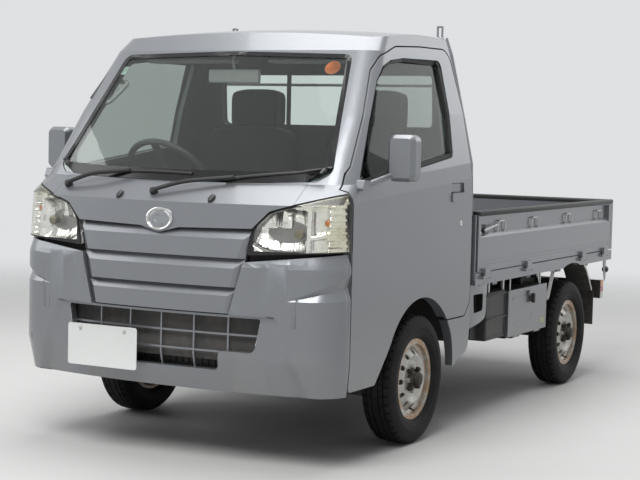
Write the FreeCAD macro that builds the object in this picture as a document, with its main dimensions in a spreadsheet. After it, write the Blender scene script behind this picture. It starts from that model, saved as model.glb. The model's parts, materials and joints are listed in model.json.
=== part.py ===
import FreeCAD, Part
import math
import os
from FreeCAD import Vector

doc = FreeCAD.newDocument("KeiTruck")

# Driving sizes in millimetres and degrees; y runs rearwards from the front axle, z up from the ground
SIZES = {
    # whole vehicle
    "length_overall": 3395.0,
    "half_width": 737.5,
    "front_overhang": 870.0,
    "wheelbase": 1900.0,
    "track_front_half": 652.5,
    "track_rear_half": 650.0,
    "panel_gap": 6.0,
    "seam_gap": 2.5,
    "seat_clear": 0.3,
    "overrun": 60.0,
    "sheet_steel": 3.0,
    # wheels
    "tyre_radius": 268.0,
    "tyre_width": 145.0,
    "tread_width": 112.0,
    "bead_radius": 153.0,
    "flange_height": 15.0,
    "flange_thick": 6.0,
    "rim_width": 102.0,
    "rim_wall": 6.0,
    "rim_well": 14.0,
    "disc_offset": 40.0,
    "disc_dome": 14.0,
    "disc_thick": 6.0,
    "disc_hub_radius": 76.0,
    "disc_hole_radius": 11.0,
    "disc_hole_circle": 112.0,
    "disc_hole_count": 12.0,
    "stud_circle_radius": 50.0,
    "stud_radius": 6.0,
    "nut_radius": 9.5,
    "nut_height": 14.0,
    "stud_count": 4.0,
    "hub_radius": 30.0,
    "hub_height": 34.0,
    "drum_radius": 118.0,
    "drum_depth": 52.0,
    "axle_stub_radius": 14.0,
    "axle_stub_length": 60.0,
    # front suspension and steering
    "kingpin_offset": 104.5,
    "upright_width": 34.0,
    "upright_length": 90.0,
    "upright_height": 120.0,
    "strut_radius": 20.0,
    "strut_top": 628.0,
    "spring_seat_radius": 48.0,
    "spring_seat_thick": 10.0,
    "arm_width": 70.0,
    "arm_thick": 28.0,
    "arm_inner": 330.0,
    "steer_arm_length": 110.0,
    "tie_rod_radius": 10.0,
    # cab form
    "cab_roof": 1722.0,
    "cab_back": 535.0,
    "front_sag": 60.0,
    "corner_radius": 120.0,
    "rear_corner_radius": 50.0,
    "belt_slope": 0.0687,
    "roof_edge_drop": 24.0,
    "roof_edge_half": 610.0,
    "roof_bow_radius": 3200.0,
    "roof_peak_back": 250.0,
    "roof_edge_radius": 45.0,
    "cab_wall": 40.0,
    "door_thick": 45.0,
    "door_step": 10.0,
    "handle_room": 9.0,
    "handle_out": 7.0,
    "skin": 12.0,
    "bulkhead_depth": 60.0,
    "bulkhead_thick": 20.0,
    "cab_floor_low": 400.0,
    "cab_floor_thick": 20.0,
    "arch_radius": 345.0,
    "arch_centre_back": -10.0,
    "arch_centre_height": 265.0,
    "cowl_edge": 555.0,
    # glass
    "glass_thick": 5.0,
    "door_glass_depth": 17.0,
    "glass_inset": 2.0,
    "glass_lap": 16.0,
    "windscreen_low": 1077.0,
    "windscreen_high": 1603.0,
    "windscreen_low_half": 636.0,
    "windscreen_high_half": 541.0,
    "rear_glass_half": 560.0,
    "rear_glass_low": 1289.0,
    "rear_glass_high": 1560.0,
    "glass_corner": 45.0,
    # doors
    "door_front": 655.0,
    "door_back": 490.0,
    "door_low": 300.0,
    "door_high": 1637.0,
    "hinge_inset": 6.0,
    "hinge_back": 6.0,
    "hinge_pin": 3.0,
    "hinge_room": 1.0,
    "hinge_tall": 50.0,
    "hinge_pin_reach": 16.0,
    # cab floor
    "wheel_house_inner": 420.0,
    "wheel_house_top": 640.0,
    "wheel_house_front": 380.0,
    "cabin_half": 684.0,
    "seat_base_front": 60.0,
    "seat_base_height": 120.0,
    # seats
    "seat_offset": 310.0,
    "seat_width": 430.0,
    "seat_length": 480.0,
    "cushion_thick": 100.0,
    "back_thick": 110.0,
    "back_height": 520.0,
    "headrest_width": 250.0,
    "headrest_height": 170.0,
    "seat_back_y": 455.0,
    # dashboard and steering
    "dash_front": 700.0,
    "dash_back": 430.0,
    "dash_low": 860.0,
    "dash_high": 1050.0,
    "dash_half": 640.0,
    "steer_x": -310.0,
    "steer_y": -330.0,
    "steer_z": 1085.0,
    "steer_tilt": 40.0,
    "steer_radius": 180.0,
    "steer_rim": 13.0,
    "column_radius": 22.0,
    "column_length": 210.0,
    # bumper and grille
    "bumper_low": 285.0,
    "bumper_skin": 24.0,
    "bumper_recess": 13.0,
    "bumper_lean": 18.0,
    "slat_depth": 26.0,
    "slat_facet": 34.0,
    "grille_bar": 7.0,
    "grille_setback": 40.0,
    "crease_depth": 9.0,
    "grille_high": 574.0,
    "grille_low": 368.0,
    "grille_half": 443.0,
    "grille_low_half": 265.0,
    # lamps
    "lens_thick": 4.0,
    "lamp_wall": 5.0,
    # bed
    "bed_floor_top": 655.0,
    "bed_floor_thick": 18.0,
    "bed_front": 552.0,
    "bed_inner_half": 705.0,
    "rail_low": 616.0,
    "rail_arch_radius": 470.0,
    "rail_arch_top": 636.0,
    "rail_arch_back": 1855.0,
    "rail_top": 668.0,
    "gate_low": 674.0,
    "gate_high": 930.0,
    "gate_skin": 10.0,
    "gate_channel_low": 828.0,
    "gate_channel_depth": 20.0,
    "gate_groove": 2.0,
    "strap_rise": 12.0,
    "gate_cap_height": 16.0,
    "gate_front": 572.0,
    "gate_hinge_height": 648.0,
    "gate_hinge_out": 9.0,
    "hinge_radius": 7.0,
    "hinge_length": 60.0,
    "tail_thick": 30.0,
    "bearer_width": 60.0,
    "bearer_inset": 110.0,
    "bearer_count": 5.0,
    # guard frame
    "guard_tube": 14.0,
    "guard_y": 551.0,
    "guard_top": 1701.0,
    "guard_hook_top": 1765.0,
    "guard_hook_half": 11.0,
    "guard_hook_radius": 5.0,
    # chassis
    "rail_inner": 300.0,
    "rail_width": 50.0,
    "rail_height": 100.0,
    "rail_base": 400.0,
    "rail_front_base": 290.0,
    "rail_front_end": 740.0,
    "rail_rear_end": 2470.0,
    "crossmember": 60.0,
    "engine_half": 200.0,
    "engine_front": 60.0,
    "engine_length": 440.0,
    "engine_low": 240.0,
    "engine_height": 370.0,
    "gearbox_length": 380.0,
    "gearbox_radius": 90.0,
    "shaft_radius": 28.0,
    "axle_tube_radius": 34.0,
    "diff_radius": 105.0,
    "spring_x": 450.0,
    "spring_width": 50.0,
    "spring_stack": 26.0,
    "spring_span": 960.0,
    "spring_rise": 60.0,
    # boxes under the bed
    "box_front": 1063.0,
    "box_back": 1585.0,
    "box_low": 321.0,
    "box_high": 550.0,
    "box_face": 700.0,
    "box_depth": 212.0,
    "box_wall": 8.0,
    "lid_thick": 14.0,
    "lid_pin": 5.0,
    "tank_front": 760.0,
    "tank_length": 620.0,
    "tank_width": 290.0,
    "tank_low": 290.0,
    "tank_height": 200.0,
    "muffler_radius": 65.0,
    "muffler_length": 420.0,
    "pipe_radius": 20.0,
    # mudguards, lamps, mirrors, wipers
    "flap_thick": 8.0,
    "flap_low": 268.0,
    "flap_high": 452.0,
    "flap_back": 2320.0,
    "tail_lamp_width": 190.0,
    "tail_lamp_height": 100.0,
    "tail_lamp_depth": 45.0,
    "mirror_height": 180.0,
    "mirror_width": 115.0,
    "mirror_depth": 70.0,
    "mirror_back": -440.0,
    "mirror_low": 1097.0,
    "mirror_corner": 28.0,
    "mirror_edge": 14.0,
    "mirror_arm": 12.0,
    "wiper_width": 14.0,
    "wiper_lift": 12.0,
}

# Spreadsheet
sheet = doc.addObject("Spreadsheet::Sheet", "Sizes")
for row, (alias, value) in enumerate(SIZES.items(), start=1):
    sheet.set("A%d" % row, alias)
    sheet.set("B%d" % row, str(value))
    sheet.setAlias("B%d" % row, alias)
doc.recompute()


class Sizes:
    """the sheet's values under their aliases"""

    def __getattr__(self, alias):
        return float(sheet.get(alias))


s = Sizes()
nodes = []


# Helpers for bound primitives
def bound(text):
    """an expression in which each alias is looked up on the sheet"""
    words = []
    word = ""
    for mark in text + " ":
        if mark.isalnum() or mark == "_":
            word += mark
            continue
        words.append("Sizes." + word if word in SIZES else word)
        words.append(mark)
        word = ""
    return "".join(words).strip()


def tie(item, **places):
    """bind properties to expressions; dots in a property are written as double underscores"""
    for place, text in places.items():
        item.setExpression(place.replace("__", "."), bound(text))
    return item


def block(name, corner, size):
    """a box whose corner and three sides follow the sheet"""
    item = doc.addObject("Part::Box", name)
    tie(item, Length=size[0], Width=size[1], Height=size[2])
    tie(item, Placement__Base__x=corner[0], Placement__Base__y=corner[1], Placement__Base__z=corner[2])
    return item


def side_block(name, side, inner, y, z, size):
    """a box on the left (side 1) or right (side -1), its near face at x = inner"""
    x = inner if side > 0 else "-(%s) - (%s)" % (inner, size[0])
    return block(name, (x, y, z), size)


AXIS_TURNS = {
    "X": FreeCAD.Rotation(Vector(0, 1, 0), 90),
    "Y": FreeCAD.Rotation(Vector(1, 0, 0), -90),
    "Z": FreeCAD.Rotation(),
}


def rod(name, start, radius, length, axis):
    """a cylinder from a start point along +X, +Y or +Z"""
    item = doc.addObject("Part::Cylinder", name)
    item.Placement = FreeCAD.Placement(Vector(), AXIS_TURNS[axis])
    tie(item, Radius=radius, Height=length)
    tie(item, Placement__Base__x=start[0], Placement__Base__y=start[1], Placement__Base__z=start[2])
    return item


def side_rod(name, side, inner, y, z, radius, length):
    """a cylinder along x on one side, its near end at x = inner"""
    x = inner if side > 0 else "-(%s) - (%s)" % (inner, length)
    return rod(name, (x, y, z), radius, length, "X")


def joined(name, parts):
    item = doc.addObject("Part::MultiFuse", name)
    item.Shapes = parts
    item.Refine = True
    return item


def gathered(name, parts):
    """solids that do not touch, kept as one sub-part"""
    item = doc.addObject("Part::Compound", name)
    item.Links = parts
    return item


def carved(name, base, tool):
    item = doc.addObject("Part::Cut", name)
    item.Base = base
    item.Tool = tool
    return item


def solid(name, shape):
    """an object that holds a worked-out shape"""
    item = doc.addObject("Part::Feature", name)
    item.Shape = shape
    return item


def node(name, item, at=("0", "0", "0"), turn=0):
    """name a finished sub-part and set it in the vehicle's frame, turned about the vertical"""
    item.Label = name
    item.Placement = FreeCAD.Placement(Vector(), FreeCAD.Rotation(Vector(0, 0, 1), turn))
    tie(item, Placement__Base__x=at[0], Placement__Base__z=at[2],
        Placement__Base__y="%s + front_overhang - length_overall / 2" % at[1])
    nodes.append(item)
    return item


# Outlines
def rounded_wire(points, lift):
    """a closed wire through (a, b, radius) corners, lifted into space by a function of (a, b)"""
    count = len(points)
    starts = []
    ends = []
    middles = []
    for i in range(count):
        here = Vector(points[i][0], points[i][1], 0)
        before = Vector(points[i - 1][0], points[i - 1][1], 0)
        after = Vector(points[(i + 1) % count][0], points[(i + 1) % count][1], 0)
        radius = points[i][2]
        into = (here - before).normalize()
        out = (after - here).normalize()
        turn = into.getAngle(out)
        if radius <= 0 or turn < 1e-4:
            starts.append(here)
            ends.append(here)
            middles.append(None)
            continue
        back = radius * math.tan(turn / 2)
        starts.append(here - into * back)
        ends.append(here + out * back)
        centre_line = (out - into).normalize()
        centre = here + centre_line * (radius / math.cos(turn / 2))
        middles.append(centre - centre_line * radius)
    edges = []
    for i in range(count):
        if middles[i] is not None:
            arc = Part.Arc(lift(starts[i]), lift(middles[i]), lift(ends[i]))
            edges.append(arc.toShape())
        here = ends[i]
        after = starts[(i + 1) % count]
        if (after - here).Length > 1e-6:
            edges.append(Part.LineSegment(lift(here), lift(after)).toShape())
    return Part.Wire(edges)


def prism_x(points, low, high):
    """(y, z, radius) corners, extruded from x = low to high"""
    wire = rounded_wire(points, lambda p: Vector(low, p.x, p.y))
    return Part.Face(wire).extrude(Vector(high - low, 0, 0))


def prism_y(points, low, high):
    """(x, z, radius) corners, extruded from y = low to high"""
    wire = rounded_wire(points, lambda p: Vector(p.x, low, p.y))
    return Part.Face(wire).extrude(Vector(0, high - low, 0))


def prism_z(points, low, high):
    """(x, y, radius) corners, extruded from z = low to high"""
    wire = rounded_wire(points, lambda p: Vector(p.x, p.y, low))
    return Part.Face(wire).extrude(Vector(0, 0, high - low))


def spread(shares, low, high):
    """corner shares on a rectangle, as corners; a third share is a radius in rectangle heights"""
    wide = high[0] - low[0]
    tall = high[1] - low[1]
    return [(low[0] + wide * a, low[1] + tall * b, tall * r) for a, b, r in shares]


def cuboid(low, high):
    return Part.makeBox(high[0] - low[0], high[1] - low[1], high[2] - low[2], Vector(*low))


def largest(shape):
    """the main solid, without slivers that a cut leaves beside it"""
    return sorted(shape.Solids, key=lambda piece: piece.Volume)[-1]


def flipped(shape):
    """the same shape on the other side of the vehicle"""
    return shape.mirror(Vector(0, 0, 0), Vector(1, 0, 0))


def on_side(shape, side):
    return shape if side > 0 else flipped(shape)


def swept(points, radius):
    """a round tube through points with mitred, rounded joints"""
    solids = []
    for a, b in zip(points, points[1:]):
        run = b - a
        solids.append(Part.makeCylinder(radius, run.Length, a, run))
    for p in points[1:-1]:
        solids.append(Part.makeSphere(radius, p))
    whole = solids[0]
    return whole.fuse(solids[1:]).removeSplitter() if len(solids) > 1 else whole


# Cab form: plan outlines at rising heights, as shares of the cab's sizes
# each: height, front, back, half width, front sag, corner radius, slope
CAB_ROW_SHARES = (
    (0.1655, 0.9632, 1.0000, 0.9898, 1.00, 1.00, 0.00),
    (0.2439, 1.0000, 1.0000, 1.0000, 1.00, 1.00, 0.00),
    (0.4588, 0.9954, 1.0000, 1.0000, 1.00, 0.96, 0.00),
    (0.5813, 0.9713, 0.9907, 1.0000, 1.00, 0.92, 1.00),
    (0.6254, 0.8529, 0.9757, 0.9912, 1.18, 0.83, 1.00),
    (0.7782, 0.6115, 0.9383, 0.9451, 0.75, 0.75, 0.45),
    (0.9338, 0.3655, 0.9065, 0.8624, 0.33, 0.67, 0.00),
    (0.9814, 0.2471, 0.8935, 0.8298, 0.30, 0.62, 0.00),
    (1.0395, 0.0690, 0.8785, 0.7932, 0.25, 0.58, 0.00),
)


def cab_plan(height, slope, front, back, half, sag, corner, rear_corner):
    """one plan outline: bowed front, tangent corner arcs, sides, flat back"""
    run = half - corner
    bow = (run * run + sag * sag) / (2 * sag)
    sweep = math.asin(run / bow)
    bow_end = Vector(run, front + bow - bow * math.cos(sweep), 0)
    bow_way = Vector(math.cos(sweep), math.sin(sweep), 0)
    side_way = Vector(0, 1, 0)
    reach = (half - bow_end.x) / bow_way.x
    meet = bow_end + bow_way * reach
    side_start = meet + side_way * reach
    turn = bow_way.getAngle(side_way)
    radius = reach / math.tan(turn / 2)
    centre = bow_end + Vector(-bow_way.y, bow_way.x, 0) * radius
    corner_middle = centre + (meet - centre).normalize() * radius
    rear_meet = Vector(half, back, 0)
    side_end = rear_meet - side_way * rear_corner
    rear_start = rear_meet + Vector(-rear_corner, 0, 0)
    rear_centre = Vector(half - rear_corner, back - rear_corner, 0)
    rear_middle = rear_centre + (rear_meet - rear_centre).normalize() * rear_corner

    def lift(p, side=1):
        return Vector(side * p.x, p.y, height + slope * (p.y - front))

    nose = Vector(0, front, 0)
    edges = [Part.Arc(lift(bow_end, -1), lift(nose), lift(bow_end)).toShape()]
    edges.append(Part.Arc(lift(bow_end), lift(corner_middle), lift(side_start)).toShape())
    edges.append(Part.LineSegment(lift(side_start), lift(side_end)).toShape())
    edges.append(Part.Arc(lift(side_end), lift(rear_middle), lift(rear_start)).toShape())
    edges.append(Part.LineSegment(lift(rear_start), lift(rear_start, -1)).toShape())
    edges.append(Part.Arc(lift(rear_start, -1), lift(rear_middle, -1), lift(side_end, -1)).toShape())
    edges.append(Part.LineSegment(lift(side_end, -1), lift(side_start, -1)).toShape())
    edges.append(Part.Arc(lift(side_start, -1), lift(corner_middle, -1), lift(bow_end, -1)).toShape())
    return Part.Wire(edges)


roof_sweep = 80.0


def roof_under(depth):
    """all that lies below the roof's doubly bowed surface, set in by depth"""
    centre = s.cab_roof - depth
    edge = centre - s.roof_edge_drop
    half = s.roof_edge_half
    far = s.half_width + s.overrun
    low = s.cab_floor_low - 3 * s.overrun
    arc = Part.Arc(Vector(-half, 0, edge), Vector(0, 0, centre), Vector(half, 0, edge)).toShape()
    corners = [(half, edge), (far, edge), (far, low), (-far, low), (-far, edge), (-half, edge)]
    lines = []
    for a, b in zip(corners, corners[1:]):
        lines.append(Part.LineSegment(Vector(a[0], 0, a[1]), Vector(b[0], 0, b[1])).toShape())
    face = Part.Face(Part.Wire([arc] + lines))
    face.translate(Vector(0, s.roof_peak_back, 0))
    pivot = Vector(0, s.roof_peak_back, centre - s.roof_bow_radius)
    face.rotate(pivot, Vector(1, 0, 0), -roof_sweep / 2)
    return face.revolve(pivot, Vector(1, 0, 0), roof_sweep)


forms = {}
CORNER_SHARES = (0.6, 0.4)


def row_plan(row, depth):
    """the plan outline of one row, set in by depth"""
    high, front, back, half, sag, corner, slope = row
    return cab_plan(
        s.cab_roof * high, s.belt_slope * slope, -s.front_overhang * front + depth,
        s.cab_back * back - depth, s.half_width * half - depth, s.front_sag * sag,
        s.corner_radius * corner - depth * CORNER_SHARES[0], s.rear_corner_radius - depth * CORNER_SHARES[1])


def plan_between(height, depth):
    """the plan outline at any height share, set in by depth"""
    rows = [pair for pair in zip(CAB_ROW_SHARES, CAB_ROW_SHARES[1:]) if pair[0][0] <= height]
    below, above = rows[-1]
    way = (height - below[0]) / (above[0] - below[0])
    return row_plan([a + (b - a) * way for a, b in zip(below, above)], depth)


def cab_form(depth):
    """the cab's closed outer form, set in by depth"""
    if depth in forms:
        return forms[depth]
    body = Part.makeLoft([row_plan(row, depth) for row in CAB_ROW_SHARES], True, True)
    forms[depth] = body.common(roof_under(depth))
    return forms[depth]


layers = {}


def layer(outer, inner):
    """the shell of the cab's form between two depths"""
    if (outer, inner) not in layers:
        layers[(outer, inner)] = cab_form(outer).cut(cab_form(inner))
    return layers[(outer, inner)]


def front_point(x, z, lift):
    """the point of the cab's form at x and z on the front, lifted forward"""
    probe = Part.makeLine(Vector(x, -s.front_overhang - s.overrun, z), Vector(x, s.cab_back / 2, z))
    hits = cab_form(0).common(probe).BoundBox
    return Vector(x, hits.YMin - lift, z)


# Side view of the door, on the rectangle of the door's sizes
DOOR_SHARES = (
    (0.0000, 0.0000, 0.015),
    (0.1983, 0.0000, 0.015),
    (0.3100, 0.1137, 0.000),
    (0.5700, 0.1137, 0.000),
    (0.5700, 0.1466, 0.000),
    (0.9520, 0.1466, 0.025),
    (1.0000, 0.1900, 0.030),
    (1.0000, 0.5200, 0.200),
    (0.9450, 1.0070, 0.050),
    (0.6850, 1.0040, 0.150),
    (0.4800, 0.9950, 0.100),
    (0.3480, 0.9620, 0.060),
    (0.2900, 0.9180, 0.040),
    (0.0590, 0.6350, 0.030),
    (-0.0150, 0.5750, 0.004),
    (0.0000, 0.5680, 0.004),
)
OPENING_BACK_SHARE = 0.0030
WINDOW_SHARES = (
    (0.0480, 0.5790, 0.020),
    (0.8290, 0.6630, 0.020),
    (0.8530, 0.9700, 0.025),
    (0.5250, 0.9640, 0.100),
    (0.4150, 0.9530, 0.060),
    (0.3450, 0.9330, 0.040),
    (0.2870, 0.8880, 0.040),
    (0.1900, 0.7750, 0.150),
)
HANDLE_CUP_SHARES = (
    (0.7960, 0.5440, 0.004), (0.9190, 0.5440, 0.004), (0.9130, 0.5810, 0.008), (0.7960, 0.5810, 0.008))
HANDLE_GRIP_SHARES = (
    (0.8000, 0.5200, 0.006), (0.9200, 0.5200, 0.006), (0.9200, 0.5490, 0.006), (0.8000, 0.5490, 0.006))


def door_outline(shares):
    low = (-s.door_front, s.door_low)
    high = (s.door_back, s.door_high)
    return spread(shares, low, high)


def door_opening():
    """the door's outline and its running gap, a little wider at the top rear for the swing"""
    shares = [(a + OPENING_BACK_SHARE if a > 0.9 and b > 0.9 else a, b, r) for a, b, r in DOOR_SHARES]
    return grown(door_outline(shares), s.panel_gap)


def grown(points, gap):
    """an outline's corners moved out by a gap, to the crossing of the moved sides"""
    count = len(points)
    area = 0.0
    for i in range(count):
        area += points[i - 1][0] * points[i][1] - points[i][0] * points[i - 1][1]
    way = 1.0 if area > 0 else -1.0
    moved = []
    for i in range(count):
        here = Vector(points[i][0], points[i][1], 0)
        before = Vector(points[i - 1][0], points[i - 1][1], 0)
        after = Vector(points[(i + 1) % count][0], points[(i + 1) % count][1], 0)
        into = (here - before).normalize()
        out = (after - here).normalize()
        normal_in = Vector(into.y, -into.x, 0) * way
        normal_out = Vector(out.y, -out.x, 0) * way
        bisector = (normal_in + normal_out)
        shift = bisector * (2 * gap / bisector.dot(bisector))
        hollow = (into.x * out.y - into.y * out.x) * way < 0
        radius = points[i][2]
        if radius > 0:
            radius = max(radius + (-gap if hollow else gap), 0)
        moved.append((here.x + shift.x, here.y + shift.y, radius))
    return moved


def side_zone(depth):
    """the left side's space from the cab's middle rows out, no deeper than a door"""
    rows = [(s.half_width * row[3] - depth, s.cab_roof * row[0], 0) for row in CAB_ROW_SHARES]
    far = s.half_width + s.overrun
    rows[0] = (rows[0][0], 0, 0)
    corners = rows + [(far, rows[-1][1], 0), (far, 0, 0)]
    return prism_y(corners, -s.front_overhang - s.overrun, s.cab_back + s.overrun)


def arch_cylinder(gap):
    """the round wheel arch, through the whole width"""
    far = s.half_width + s.overrun
    start = Vector(-far, s.arch_centre_back, s.arch_centre_height)
    return Part.makeCylinder(s.arch_radius + gap, 2 * far, start, Vector(1, 0, 0))


WINDSCREEN_SHARES = (
    (-0.9260, 0.0266, 0.05),
    (-0.6000, 0.0080, 0.00),
    (0.0000, 0.0000, 1.60),
    (0.6000, 0.0080, 0.00),
    (0.9260, 0.0266, 0.05),
    (1.0000, 0.0900, 0.06),
    (0.8506, 0.9750, 0.07),
    (0.0000, 1.0000, 2.00),
    (-0.8506, 0.9750, 0.07),
    (-1.0000, 0.0900, 0.06),
)


def windscreen_outline():
    half = s.windscreen_low_half
    return spread(WINDSCREEN_SHARES, (0, s.windscreen_low), (half, s.windscreen_high))


def rear_glass_outline():
    half = s.rear_glass_half
    corner = s.glass_corner
    low = s.rear_glass_low
    high = s.rear_glass_high
    return [(-half, low, corner), (half, low, corner), (half, high, corner), (-half, high, corner)]


def glass_of(cutter_of, outline):
    """a pane that fills an outline, in the glass layer of the form"""
    pane = layer(s.glass_inset, s.glass_inset + s.glass_thick)
    return pane.common(cutter_of(outline))


def glass_hole(cutter_of, outline):
    """the hole for a pane: its full outline outside, a smaller one behind, so that a lap carries it"""
    behind = s.glass_inset + s.glass_thick + s.seat_clear
    outside = layer(-s.overrun / 4, behind).common(cutter_of(grown(outline, s.seat_clear)))
    through = cutter_of(grown(outline, -s.glass_lap))
    return outside.fuse(through)


def front_cutter(outline):
    return prism_y(outline, -s.front_overhang - s.overrun, 0)


def rear_cutter(outline):
    return prism_y(outline, s.cab_back / 2, s.cab_back + s.overrun)


def left_cutter(outline):
    return prism_x(outline, s.half_width / 3, s.half_width + s.overrun)


# Front view outlines, as shares of half width and roof height
LAMP_SHARES = (
    (0.5112, 0.4704, 0.008),
    (1.0600, 0.4840, 0.000),
    (1.0600, 0.6180, 0.000),
    (0.9800, 0.6112, 0.000),
    (0.6373, 0.5680, 0.020),
    (0.5519, 0.5310, 0.008),
)
FRONT_PANEL_SHARES = (
    (0.0000, 0.5120, 0.030),
    (0.1200, 0.5255, 0.030),
    (0.5400, 0.5300, 0.000),
    (0.6300, 0.5690, 0.020),
    (0.7526, 0.5845, 0.000),
    (0.7526, 0.6290, 0.000),
    (0.0000, 0.6240, 0.000),
)
SLAT_FIELD_SHARES = (
    (0.4240, 0.3400, 0.004),
    (0.4990, 0.4560, 0.000),
    (0.5330, 0.5290, 0.000),
    (0.1200, 0.5240, 0.030),
    (0.0000, 0.5105, 0.030),
)
BUMPER_SHARES = (
    (1.0600, 0.1600, 0.000),
    (1.0600, 0.4825, 0.000),
    (0.5040, 0.4560, 0.006),
    (0.4290, 0.3385, 0.004),
)
FRONT_CUT_SHARES = (
    (1.0600, 0.1400, 0.000),
    (1.0600, 0.6195, 0.000),
    (0.9800, 0.6127, 0.000),
    (0.7550, 0.5855, 0.000),
    (0.7550, 0.6297, 0.000),
    (0.0000, 0.6247, 0.000),
)


def mirrored(points):
    """a right half's corners, from low to high, and their mirror images"""
    return list(points) + [(-a, b, r) for a, b, r in reversed(points) if a > 0]


def front_outline(shares):
    return spread(shares, (0, 0), (s.half_width, s.cab_roof))


def front_zone(outline):
    """the space ahead of the doors that lies in an outline"""
    return prism_y(outline, -s.front_overhang - s.overrun, -s.door_front - s.panel_gap)


# Cab shell
def make_cab_shell():
    shell = layer(0, s.cab_wall)
    cuts = []
    nose = -s.front_overhang - s.overrun
    far = s.half_width + s.overrun
    cuts.append(front_zone(mirrored(front_outline(FRONT_CUT_SHARES))))
    for side in (1, -1):
        door = left_cutter(door_opening()).common(side_zone(s.door_thick + s.panel_gap))
        cuts.append(on_side(door, side))
    cuts.append(arch_cylinder(0))
    cuts.append(glass_hole(front_cutter, windscreen_outline()))
    cuts.append(glass_hole(rear_cutter, rear_glass_outline()))
    # underside and the sill behind the wheel
    inside = s.half_width - s.cab_wall
    cuts.append(cuboid((-far, nose, 0), (far, s.arch_centre_back, s.door_low + s.cab_floor_thick)))
    cuts.append(cuboid((-inside, nose, 0), (inside, s.cab_back + s.overrun, s.wheel_house_top)))
    corner = prism_x([
        (s.cab_back * 0.68, 0, 0), (s.cab_back * 0.68, s.door_low - s.seam_gap, 12),
        (s.cab_back * 0.88, s.door_low * 1.10, 40), (s.cab_back * 0.98, s.door_low * 1.32, 40),
        (s.cab_back * 1.01, s.door_low * 1.9, 0), (s.cab_back * 1.5, s.door_low * 1.9, 0),
        (s.cab_back * 1.5, 0, 0)], -far, far)
    cuts.append(corner)
    return largest(shell.cut(cuts))



node("cab_shell", solid("CabShell", make_cab_shell()))


# Glass
pane = largest(glass_of(front_cutter, windscreen_outline()))
node("windscreen", solid("Windscreen", pane))
pane = largest(glass_of(rear_cutter, rear_glass_outline()))
node("rear_window", solid("RearWindow", pane))


# Front panel, grille slats, bumper and lamps
def mount_ribs(places, low, high, back):
    """flat ribs from a skin to the bulkhead, at shares of the half width"""
    ribs = []
    for share in places:
        x = s.half_width * share
        ribs.append(cuboid((x, -s.front_overhang - s.overrun, low), (x + s.skin, back, high)))
    return ribs


def skin_piece(outline, depth, rib_places, rib_low, rib_high):
    """a body-coloured skin in an outline, with ribs that seat on the bulkhead"""
    field = front_zone(outline)
    piece = layer(0, depth).common(field)
    deep = layer(depth / 2, s.bulkhead_depth - s.seat_clear).common(field)
    back = -s.door_front - s.panel_gap
    ribs = [deep.common(rib) for rib in mount_ribs(rib_places, rib_low, rib_high, back)]
    return largest(piece.fuse(ribs))


panel = skin_piece(mirrored(front_outline(FRONT_PANEL_SHARES)), s.skin, (-0.45, 0.45),
                   s.cab_roof * 0.5400, s.cab_roof * 0.5600)
node("front_panel", solid("FrontPanel", panel))


# each slat's foot of ramp, crest and lower edge, and the line where its front face ends
SLAT_SHARES = ((0.5300, 0.5058, 0.4640), (0.4622, 0.4413, 0.3998), (0.3984, 0.3804, 0.3418))
SLAT_END_SHARES = ((0.4000, 0.3400), (0.4980, 0.5300))
FRONT_LEAN_SHARE = 0.0118


def slat_facet():
    """the space cut off beyond the right end of the slats' faces, slanting back to the field"""
    low, high = [Vector(s.half_width * a, 0, s.cab_roof * b) for a, b in SLAT_END_SHARES]
    front = front_point(low.x, low.z, -s.seam_gap).y
    far = front - s.overrun
    wide = low.x + s.slat_facet
    corners = [(low.x, far), (low.x, front), (wide, front + s.slat_depth), (wide + s.overrun, front + s.slat_depth),
               (wide + s.overrun, far)]
    face = Part.Face(Part.makePolygon([Vector(x, y, low.z) for x, y in corners + corners[:1]]))
    return face.extrude(high - low + Vector(0, s.front_overhang * FRONT_LEAN_SHARE, 0))


def make_grille():
    field = front_zone(mirrored(front_outline(SLAT_FIELD_SHARES)))
    inner = cab_form(s.slat_depth + s.skin)
    body = cab_form(s.slat_depth)
    for foot, crest, low in SLAT_SHARES:
        rows = [plan_between(low, s.seam_gap), plan_between(crest, s.seam_gap), plan_between(foot, s.slat_depth)]
        slat = Part.makeLoft(rows, True, True)
        facet = slat_facet()
        body = body.fuse(slat.cut([facet, flipped(facet)]))
    parts = [largest(body.common(field).cut(inner))]
    deep = layer(s.slat_depth + s.skin / 2, s.bulkhead_depth - s.seat_clear).common(field)
    for rib in mount_ribs((-0.35, 0.35), s.cab_roof * 0.42, s.cab_roof * 0.44, -s.door_front):
        parts.append(deep.common(rib))
    return largest(parts[0].fuse(parts[1:]))


node("grille", solid("Grille", make_grille()))


def air_opening():
    """the outline of the air opening: a wide upper part over a narrow lower one"""
    high = s.grille_high
    low = s.grille_low
    row = (high - low) / 3
    bar = s.grille_bar
    return mirrored([
        (s.grille_low_half, low, row * 0.3), (s.grille_low_half + bar, low + row * 1.1, bar),
        (s.grille_half - row * 0.35, low + row * 1.1, row * 0.4), (s.grille_half, high, bar)])


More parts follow.
